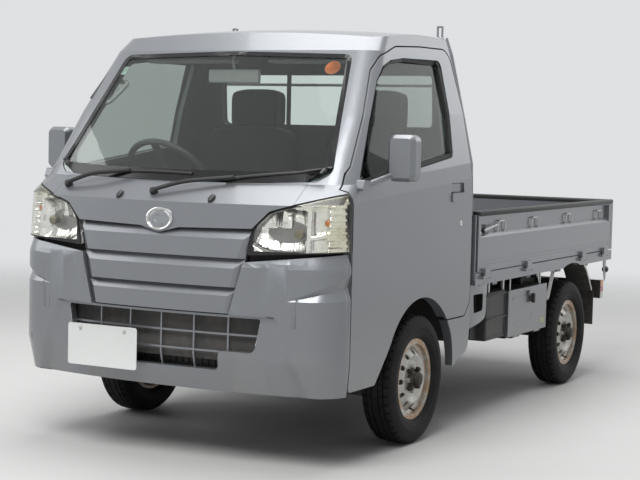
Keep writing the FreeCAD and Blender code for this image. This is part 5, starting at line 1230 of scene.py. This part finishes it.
# Doors
class TRUCK_OT_doors(bpy.types.Operator):
    """Add the door locks, black strips of painted shade above and below the handles, and the mirror faces"""
    bl_idname = "truck.doors"
    bl_label = "Doors"

    def execute(self, context):
        place, facing = seat_on("door_left", (2.0, spot(0, 369, 0).y, 0.902), (-1, 0, 0))
        lock = turned([(-0.001, 0.0), (-0.001, 0.0115), (0.0015, 0.0112), (0.003, 0.0085), (0.0018, 0.0066),
                       (0.0018, 0.0)], place, facing, 28)
        both_sides(lock, "door_lock", "door_{}", "chrome")
        # black strips at the foot and the top of each handle's cup: painted shade inside the cup
        lines = [block((728.4, 264, 1033), (739.0, 393, 1038), 0.0015),
                 block((728.4, 250, 1073.5), (734.0, 402, 1078.5), 0.0015)]
        both_sides(joined(lines), "handle_shade_strips", "door_{}", "trim")
        y = spot(0, -370, 0).y - 0.0006
        corners = ((0.7715, 1.108), (0.8665, 1.108), (0.8665, 1.266), (0.7715, 1.266))
        for word, side in (("left", 1), ("right", -1)):
            points = rounded([Vector((side * x, y, z)) for x, z in corners], 0.024, 6, True)
            face = plate(points, (0, 0.003, 0), 0.001)
            inset_where(face, lambda c, n: n.y > 0.9, 0.005, -0.0012)
            done(face, "mirror_face_" + word, "door_" + word, "chrome")
        return {"FINISHED"}


# Cabin
def pad(low, high, crown, pinch, cuts=14):
    """a crowned cushion whose sides pull in between its corners"""
    low = Vector(low)
    high = Vector(high)
    middle = (low + high) / 2
    half = (high - low) / 2
    bpy.ops.mesh.primitive_cube_add(size=2)
    obj = bpy.context.object
    edit(obj)
    bpy.ops.mesh.subdivide(number_cuts=cuts)
    leave()
    for vertex in obj.data.vertices:
        a, b, c = vertex.co
        soft = (1 - a ** 4) * (1 - b ** 4)
        scale = 1 - pinch * (1 - c * c) * (1 - a * a * b * b)
        edge = 1 - 0.10 * (abs(c) ** 6)
        vertex.co = middle + Vector((half.x * a * scale * edge, half.y * b * scale * edge,
                                     half.z * c + crown * c * soft - crown * c))
    modify(obj, "SUBSURF", levels=1, render_levels=1)
    return obj


# low corner, high corner, crown and pinch of the cushion, the back and the headrest
SEAT_PADS = (((-0.215, -0.478, 0.001), (0.215, -0.062, 0.100), 0.016, 0.03),
             ((-0.212, -0.150, 0.085), (0.212, -0.038, 0.520), 0.020, 0.03),
             ((-0.122, -0.092, 0.500), (0.122, -0.004, 0.690), 0.014, 0.05))
# place on the windscreen, name, finish, corners and half width
STICKERS = ((474, 1535, "round_sticker", "sticker", 28, 0.033),
            (-531, 1521, "square_sticker", "label", 4, 0.030))


class TRUCK_OT_cabin(bpy.types.Operator):
    """Add the padded seats, mirror, visors, grab handle, dashboard parts, stickers, antenna and dark linings,
    which also stand for painted shade inside the cab
    """
    bl_idname = "truck.cabin"
    bl_label = "Cabin"

    def inside(self, centre, normal):
        """is a face of the cab turned towards the middle of the cabin"""
        middle = Vector((0, -0.85, 1.20))
        return (middle - centre).normalized().dot(normal) > 0.35 and centre.z > 0.62

    def execute(self, context):
        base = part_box("seats")[0].z
        for word, x in (("right", -0.310), ("left", 0.310)):
            place = Vector((x, spot(0, 455, 0).y, base))
            pads = [pad(place + Vector(low), place + Vector(high), rise, pinch)
                    for low, high, rise, pinch in SEAT_PADS]
            seat = joined(pads)
            done(seat, "seat_" + word, "body", "cloth", 50,
                 ["seats"] if word == "right" else [])
        glass = block((-165, -262, 1474), (82, -240, 1532), 0.009, 3)
        stem = tube(rounded(side_line(-42, ((-250, 1528), (-262, 1560), (-252, 1602))), 0.02), 0.006)
        done(joined([glass, stem]), "cabin_mirror", "body", "pale")
        visors = [block((x - 205, -215, 1560), (x + 205, -120, 1576), 0.007, 3) for x in (-300, 300)]
        done(joined(visors), "sun_visors", "body", "pale")
        grab = tube(rounded([spot(-560, -330, 1475), spot(-518, -338, 1468), spot(-556, -425, 1382),
                             spot(-602, -420, 1380)], 0.03), 0.0105)
        done(grab, "grab_handle", "body", "pale")
        line = [spot(x, -470, z) for x, z in ((-480, 1040), (-150, 1040), (-165, 1092), (-460, 1092))]
        hood = plate(rounded(line, 0.03, 5, True), (0, -0.15, 0), 0.012, 3)
        shelf = block((-130, -560, 1040), (120, -465, 1062), 0.008, 3)
        vents = [block((x - 60, -446, 990), (x + 60, -432, 1030), 0.006, 3) for x in (-560, 20, 560)]
        done(joined([hood, shelf] + vents), "dash_parts", "body", "cabin")
        for x, z, name, kind, count, size in STICKERS:
            place, facing = seat_on("windscreen", spot(x, -300, z) + Vector((0, 0.4, 0)), (0, -1, 0))
            turns = [2 * math.pi * (i + 0.5) / count for i in range(count)]
            flat = plate([Vector((size * math.cos(a), size * math.sin(a), 0)) for a in turns], (0, 0, 0.0006))
            stood(flat, place, facing, (0, 0, 1))
            done(flat, name, "body", kind)
        base, tip = spot(-653, -418, 1400), spot(-617, -340, 1512)
        rod = tube([base, tip], 0.0075, 4)
        inwards = Vector((0.026, 0.004, -0.006))
        starts = [base.lerp(tip, share) for share in (0.12, 0.9)]
        feet = [barrel(start, start + inwards, 0.0055, 0.001, 16) for start in starts]
        done(joined([rod] + feet), "pillar_antenna", "body", "trim")
        # linings over the inner faces of the cab and the doors: trim whose dark colour also stands for
        # painted shade inside the cabin
        lining = face_copy("cab_shell", self.inside)
        modify(lining, "SOLIDIFY", thickness=0.0015, offset=1)
        done(lining, "cabin_lining", "body", "lining")
        for word, side in (("left", 1), ("right", -1)):
            panel = face_copy("door_" + word, lambda c, n: n.x * side < -0.6)
            modify(panel, "SOLIDIFY", thickness=0.0012, offset=1)
            done(panel, "door_lining_" + word, "door_" + word, "lining")
        return {"FINISHED"}


# Bed
RIB_COUNT, RIB_PITCH = 13, 0.106
LOOP = ((712, -46, 843), (727, -47, 850), (728, -45, 892), (728, 45, 892), (727, 47, 850), (712, 46, 843))


class TRUCK_OT_bed(bpy.types.Operator):
    """Add the bed's floor ribs, rope loops, latches and edge caps"""
    bl_idname = "truck.bed"
    bl_label = "Bed"

    def execute(self, context):
        top = 0.655
        front, rear = spot(0, 600, 0).y, spot(0, 2440, 0).y
        ribs = []
        for index in range(RIB_COUNT):
            x = (index - RIB_COUNT // 2) * RIB_PITCH
            ribs.append(slab((x - 0.021, front, top - 0.001), (x + 0.021, rear, top + 0.0042), 0.0035))
        done(joined(ribs), "floor_ribs", "body", "paint")
        loops = [tube(rounded([spot(x, y + step, z) for x, step, z in LOOP], 0.030, 6), 0.0034)
                 for y in (872, 1312, 1804, 2297)]
        both_sides(joined(loops), "rope_loops", "side_gate_{}", "galvanised")
        catch = block((716, 580, 834), (734, 664, 884), 0.004, 3)
        inset_where(catch, lambda c, n: n.x > 0.9, 0.008, -0.004)
        pin = barrel(spot(716, 640, 858), spot(739, 640, 858), 0.010, 0.002)
        both_sides(joined([catch, pin]), "gate_catch", "side_gate_{}", "cap")
        line = [spot(736, 640, 858), spot(737, 700, 866), spot(734, 796, 877)]
        lever = tube(rounded(line, 0.02), 0.0042, 4)
        stud = barrel(spot(724, 600, 846), spot(738, 600, 846), 0.0075, 0.0015)
        both_sides(joined([lever, stud]), "gate_lever", "side_gate_{}", "galvanised")
        for node, body in (("gate_cap_left", "side_gate_left"), ("gate_cap_right", "side_gate_right"),
                           ("gate_cap_tail", "tail_gate")):
            low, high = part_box(node)
            grow = Vector((0.002, 0.0, 0.0) if body != "tail_gate" else (0.0, 0.002, 0.0))
            cap = slab(low - grow - Vector((0, 0, 0.008)), high + grow + Vector((0, 0, 0.001)), 0.0070, 3)
            done(cap, node + "_cover", body, "cap", 35, [node])
        return {"FINISHED"}


# Underbody
LID_FACE = 699.6
KNOB = ((-0.002, 0.0), (-0.002, 0.020), (0.004, 0.019), (0.007, 0.015), (0.011, 0.0135), (0.011, 0.0))
STOP = ((0.0, 0.0), (0.0, 0.014), (0.010, 0.017), (0.020, 0.0185), (0.024, 0.016), (0.025, 0.0))
ARCH_LINE = ((2060, 634), (2125, 615), (2185, 575), (2240, 515), (2285, 455))


def bead(points, radius=0.0022):
    """a pressed line that stands out of the lid's face"""
    return tube(rounded(side_line(LID_FACE, points), 0.012), radius)


def side_plate(x, points, thick=0.003, bevel=0.001, corners=0.0, steps=3):
    """a plate that faces sideways, cut to a line of its side view"""
    line = side_line(x, points)
    if corners:
        line = rounded(line, corners, steps, True)
    return plate(line, (thick, 0, 0), bevel)


class TRUCK_OT_underbody(bpy.types.Operator):
    """Add the lid's pressings, stays, guards and brackets under the bed"""
    bl_idname = "truck.underbody"
    bl_label = "Underbody"

    def execute(self, context):
        lines = [bead(((1118, 500), (1122, 514), (1300, 514), (1342, 524), (1552, 522))),
                 bead(((1138, 389), (1352, 391), (1375, 421), (1545, 424))),
                 bead(((1140, 345), (1560, 341)), 0.0015)]
        done(joined(lines), "lid_pressing", "battery_lid", "paint")
        knob = turned(KNOB, spot(700, 1356, 494), (1, 0, 0), 32)
        grip = block((708, 1347, 470), (724, 1365, 518), 0.005, 3)
        done(joined([knob, grip]), "lid_knob", "battery_lid", "trim")
        note = side_plate(700.1, ((1498, 354), (1556, 352), (1556, 382), (1498, 384)), 0.0006, 0.0, 0.004)
        done(note, "lid_sticker", "battery_lid", "lid_label")

        box = block((560, 806, 334), (692, 1052, 560), 0.010, 3)
        inset_where(box, lambda c, n: n.x > 0.9, 0.012, -0.003)
        bands = [block((556, 803, z), (696, 1055, z + 9), 0.003) for z in (540, 430)]
        done(joined([box] + bands), "air_box", "body", "trim")
        hangers = [block((672, y, 548), (686, y + 16, 618)) for y in (840, 1020)]
        hangers += [block((689, y, 540), (693, y + 13, 618), 0.001) for y in (1090, 1500)]
        done(joined(hangers), "box_hangers", "body", "galvanised")
        foot = side_plate(640, ((748, 560), (800, 556), (812, 340), (730, 352), (742, 430)), corners=0.010)
        done(foot, "box_foot", "body", "cabin")

        bracket = side_plate(690, ((575, 618), (806, 618), (798, 470), (782, 446), (712, 428), (575, 412)),
                             corners=0.020, steps=4)
        room = side_plate(680, ((640, 565), (757, 563), (754, 486), (650, 479)), 0.03, 0.0, 0.014, 4)
        cut_from(bracket, room)
        flange = block((688, 700, 600), (696, 805, 606), 0.001)
        other = flipped(bracket)
        done(joined([bracket, flange]), "rail_bracket_left", "body", "paint")
        done(other, "rail_bracket_right", "body", "paint")

        stay = side_plate(688, ((1672, 618), (1722, 618), (1722, 596), (1640, 457), (1598, 463), (1672, 598)))
        ribs = [tube([spot(691.5, y + 14, 600), spot(691.5, y - 62, 465)], 0.0042) for y in (1674, 1696)]
        short = side_plate(670, ((1508, 616), (1530, 616), (1600, 470), (1580, 470)))
        both_sides(joined([stay, short] + ribs), "guard_stay", "body", "galvanised")

        back = ARCH_LINE[::-1]
        sheet_line = ARCH_LINE + tuple((y + 3, z + 3) for y, z in back)
        liner = side_plate(574, sheet_line, 0.128, 0.0008)
        both_sides(liner, "arch_sheet", "body", "flap")
        edge_line = [(y - 4, z) for y, z in ARCH_LINE[1:]] + [(y + 10, z + 6) for y, z in back[:-1]]
        both_sides(side_plate(702, edge_line), "sheet_edge", "body", "galvanised")

        corner = side_plate(706, ((2458, 640), (2509, 640), (2509, 510), (2492, 492), (2462, 560)))
        both_sides(corner, "rear_bracket", "body", "paint")
        stop = turned(STOP, spot(700, 2508, 556), (0, 1, 0), 32)
        both_sides(stop, "rear_stop", "body", "cap")
        return {"FINISHED"}


# Stage
# name, place, size and share of the key light's power
LIGHTS = (("key", (0.6, -5.0, 5.6), 4.0, 1.0), ("fill", (-5.0, -3.2, 3.6), 4.0, 0.25),
          ("top", (0.0, 0.6, 5.6), 5.0, 0.70), ("back", (3.0, 6.0, 3.6), 4.0, 0.15))
LIT_POINT = Vector((0, 0, 0.7))
FADE_START, FADE_END = 3.2, 8.5
CAMERA_PLACE = (3.359, -6.6445, 1.279)
CAMERA_TURN = (28.15, 3.97, 1.35)


class TRUCK_OT_stage(bpy.types.Operator):
    """Lay the floor, set the lights and stand the camera"""
    bl_idname = "truck.stage"
    bl_label = "Stage"

    def execute(self, context):
        stage = context.scene.truck_stage
        bpy.ops.mesh.primitive_plane_add(size=60, location=(0, 0, -0.0005))
        ground = bpy.context.object
        ground.name = "floor"
        settle(ground)
        f = Finish("pale_floor", (0.62, 0.62, 0.61), 0.60)
        patches = f.spread(f.noise(0.7, 6.0), 0.3, 0.7)
        f.link("Base Color", f.blend(patches, (0.61, 0.61, 0.60), (0.63, 0.63, 0.62)))
        self.fade(f)
        ground.data.materials.append(f.material)
        for name, place, size, share in LIGHTS:
            bpy.ops.object.light_add(type="AREA", location=place)
            lamp = bpy.context.object
            lamp.name = "light_" + name
            lamp.data.shape = "DISK"
            lamp.data.size = size
            lamp.data.energy = stage.key_power * share
            way = LIT_POINT - Vector(place)
            lamp.rotation_euler = way.to_track_quat("-Z", "Y").to_euler()
        self.surround(context, stage.sky)
        yaw, pitch, roll = (math.radians(a) for a in CAMERA_TURN)
        ahead = math.cos(pitch)
        forward = Vector((-math.sin(yaw) * ahead, math.cos(yaw) * ahead, -math.sin(pitch)))
        level = Vector((math.cos(yaw), math.sin(yaw), 0))
        up = level.cross(forward)
        right = math.cos(roll) * level + math.sin(roll) * up
        over = -math.sin(roll) * level + math.cos(roll) * up
        bpy.ops.object.camera_add()
        camera = bpy.context.object
        camera.name = "camera"
        camera.data.sensor_width = 36.0
        camera.data.lens = stage.lens
        turn = Matrix((right, over, -forward)).transposed().to_4x4()
        camera.matrix_world = Matrix.Translation(CAMERA_PLACE) @ turn
        context.scene.camera = camera
        context.scene.view_settings.view_transform = "Standard"
        return {"FINISHED"}

    def fade(self, f):
        """let the floor run out into the backdrop far from the truck"""
        square = f.maths("ADD", f.times(f.axis("X"), f.axis("X")), f.times(f.axis("Y"), f.axis("Y")))
        far = f.spread(f.maths("SQRT", square), FADE_START, FADE_END)
        clear = f.node("ShaderNodeBsdfTransparent")
        both = f.node("ShaderNodeMixShader", {0: far, 1: f.shader.outputs[0], 2: clear.outputs[0]})
        f.tree.links.new(both.outputs[0], f.tree.nodes["Material Output"].inputs["Surface"])

    def surround(self, context, strength):
        """even light that is pale to the eye and dimmer on the truck"""
        world = context.scene.world or bpy.data.worlds.new("surround")
        context.scene.world = world
        world.use_nodes = True
        tree = world.node_tree
        back = tree.nodes["Background"]
        back.inputs["Color"].default_value = (0.74, 0.75, 0.76, 1)
        path = tree.nodes.new("ShaderNodeLightPath")
        bright = path.outputs["Is Camera Ray"]
        for ray in ("Is Transmission Ray", "Is Glossy Ray"):
            either = tree.nodes.new("ShaderNodeMath")
            either.operation = "MAXIMUM"
            tree.links.new(bright, either.inputs[0])
            tree.links.new(path.outputs[ray], either.inputs[1])
            bright = either.outputs[0]
        level = tree.nodes.new("ShaderNodeMapRange")
        level.inputs["To Min"].default_value = strength
        level.inputs["To Max"].default_value = 1.0
        tree.links.new(bright, level.inputs["Value"])
        tree.links.new(level.outputs[0], back.inputs["Strength"])


OPERATORS = (
    TRUCK_OT_finishes, TRUCK_OT_tyres, TRUCK_OT_wheel_nuts, TRUCK_OT_glass_edges, TRUCK_OT_headlamps,
    TRUCK_OT_nose, TRUCK_OT_bumper, TRUCK_OT_doors, TRUCK_OT_cabin, TRUCK_OT_bed, TRUCK_OT_underbody,
    TRUCK_OT_stage)


class VIEW3D_PT_truck(bpy.types.Panel):
    """The truck's pieces in the sidebar"""
    bl_label = "Truck"
    bl_idname = "VIEW3D_PT_truck"
    bl_space_type = "VIEW_3D"
    bl_region_type = "UI"
    bl_category = "Truck"

    def draw(self, context):
        scene = context.scene
        for group in (scene.truck_colours, scene.truck_sizes, scene.truck_stage):
            for name in group.bl_rna.properties.keys():
                if name not in ("rna_type", "name"):
                    self.layout.prop(group, name)
        for item in OPERATORS:
            self.layout.operator(item.bl_idname)


GROUPS = (("truck_colours", TruckColours), ("truck_sizes", TruckSizes), ("truck_stage", TruckStage))


def register():
    for item in [group for name, group in GROUPS] + list(OPERATORS) + [VIEW3D_PT_truck]:
        bpy.utils.register_class(item)
    for name, group in GROUPS:
        setattr(bpy.types.Scene, name, bpy.props.PointerProperty(type=group))


def unregister():
    for name, group in GROUPS:
        delattr(bpy.types.Scene, name)
    for item in [VIEW3D_PT_truck] + list(OPERATORS) + [group for name, group in GROUPS]:
        bpy.utils.unregister_class(item)


def main():
    register()
    for item in OPERATORS:
        category, name = item.bl_idname.split(".")
        getattr(getattr(bpy.ops, category), name)()


if __name__ == "__main__":
    main()
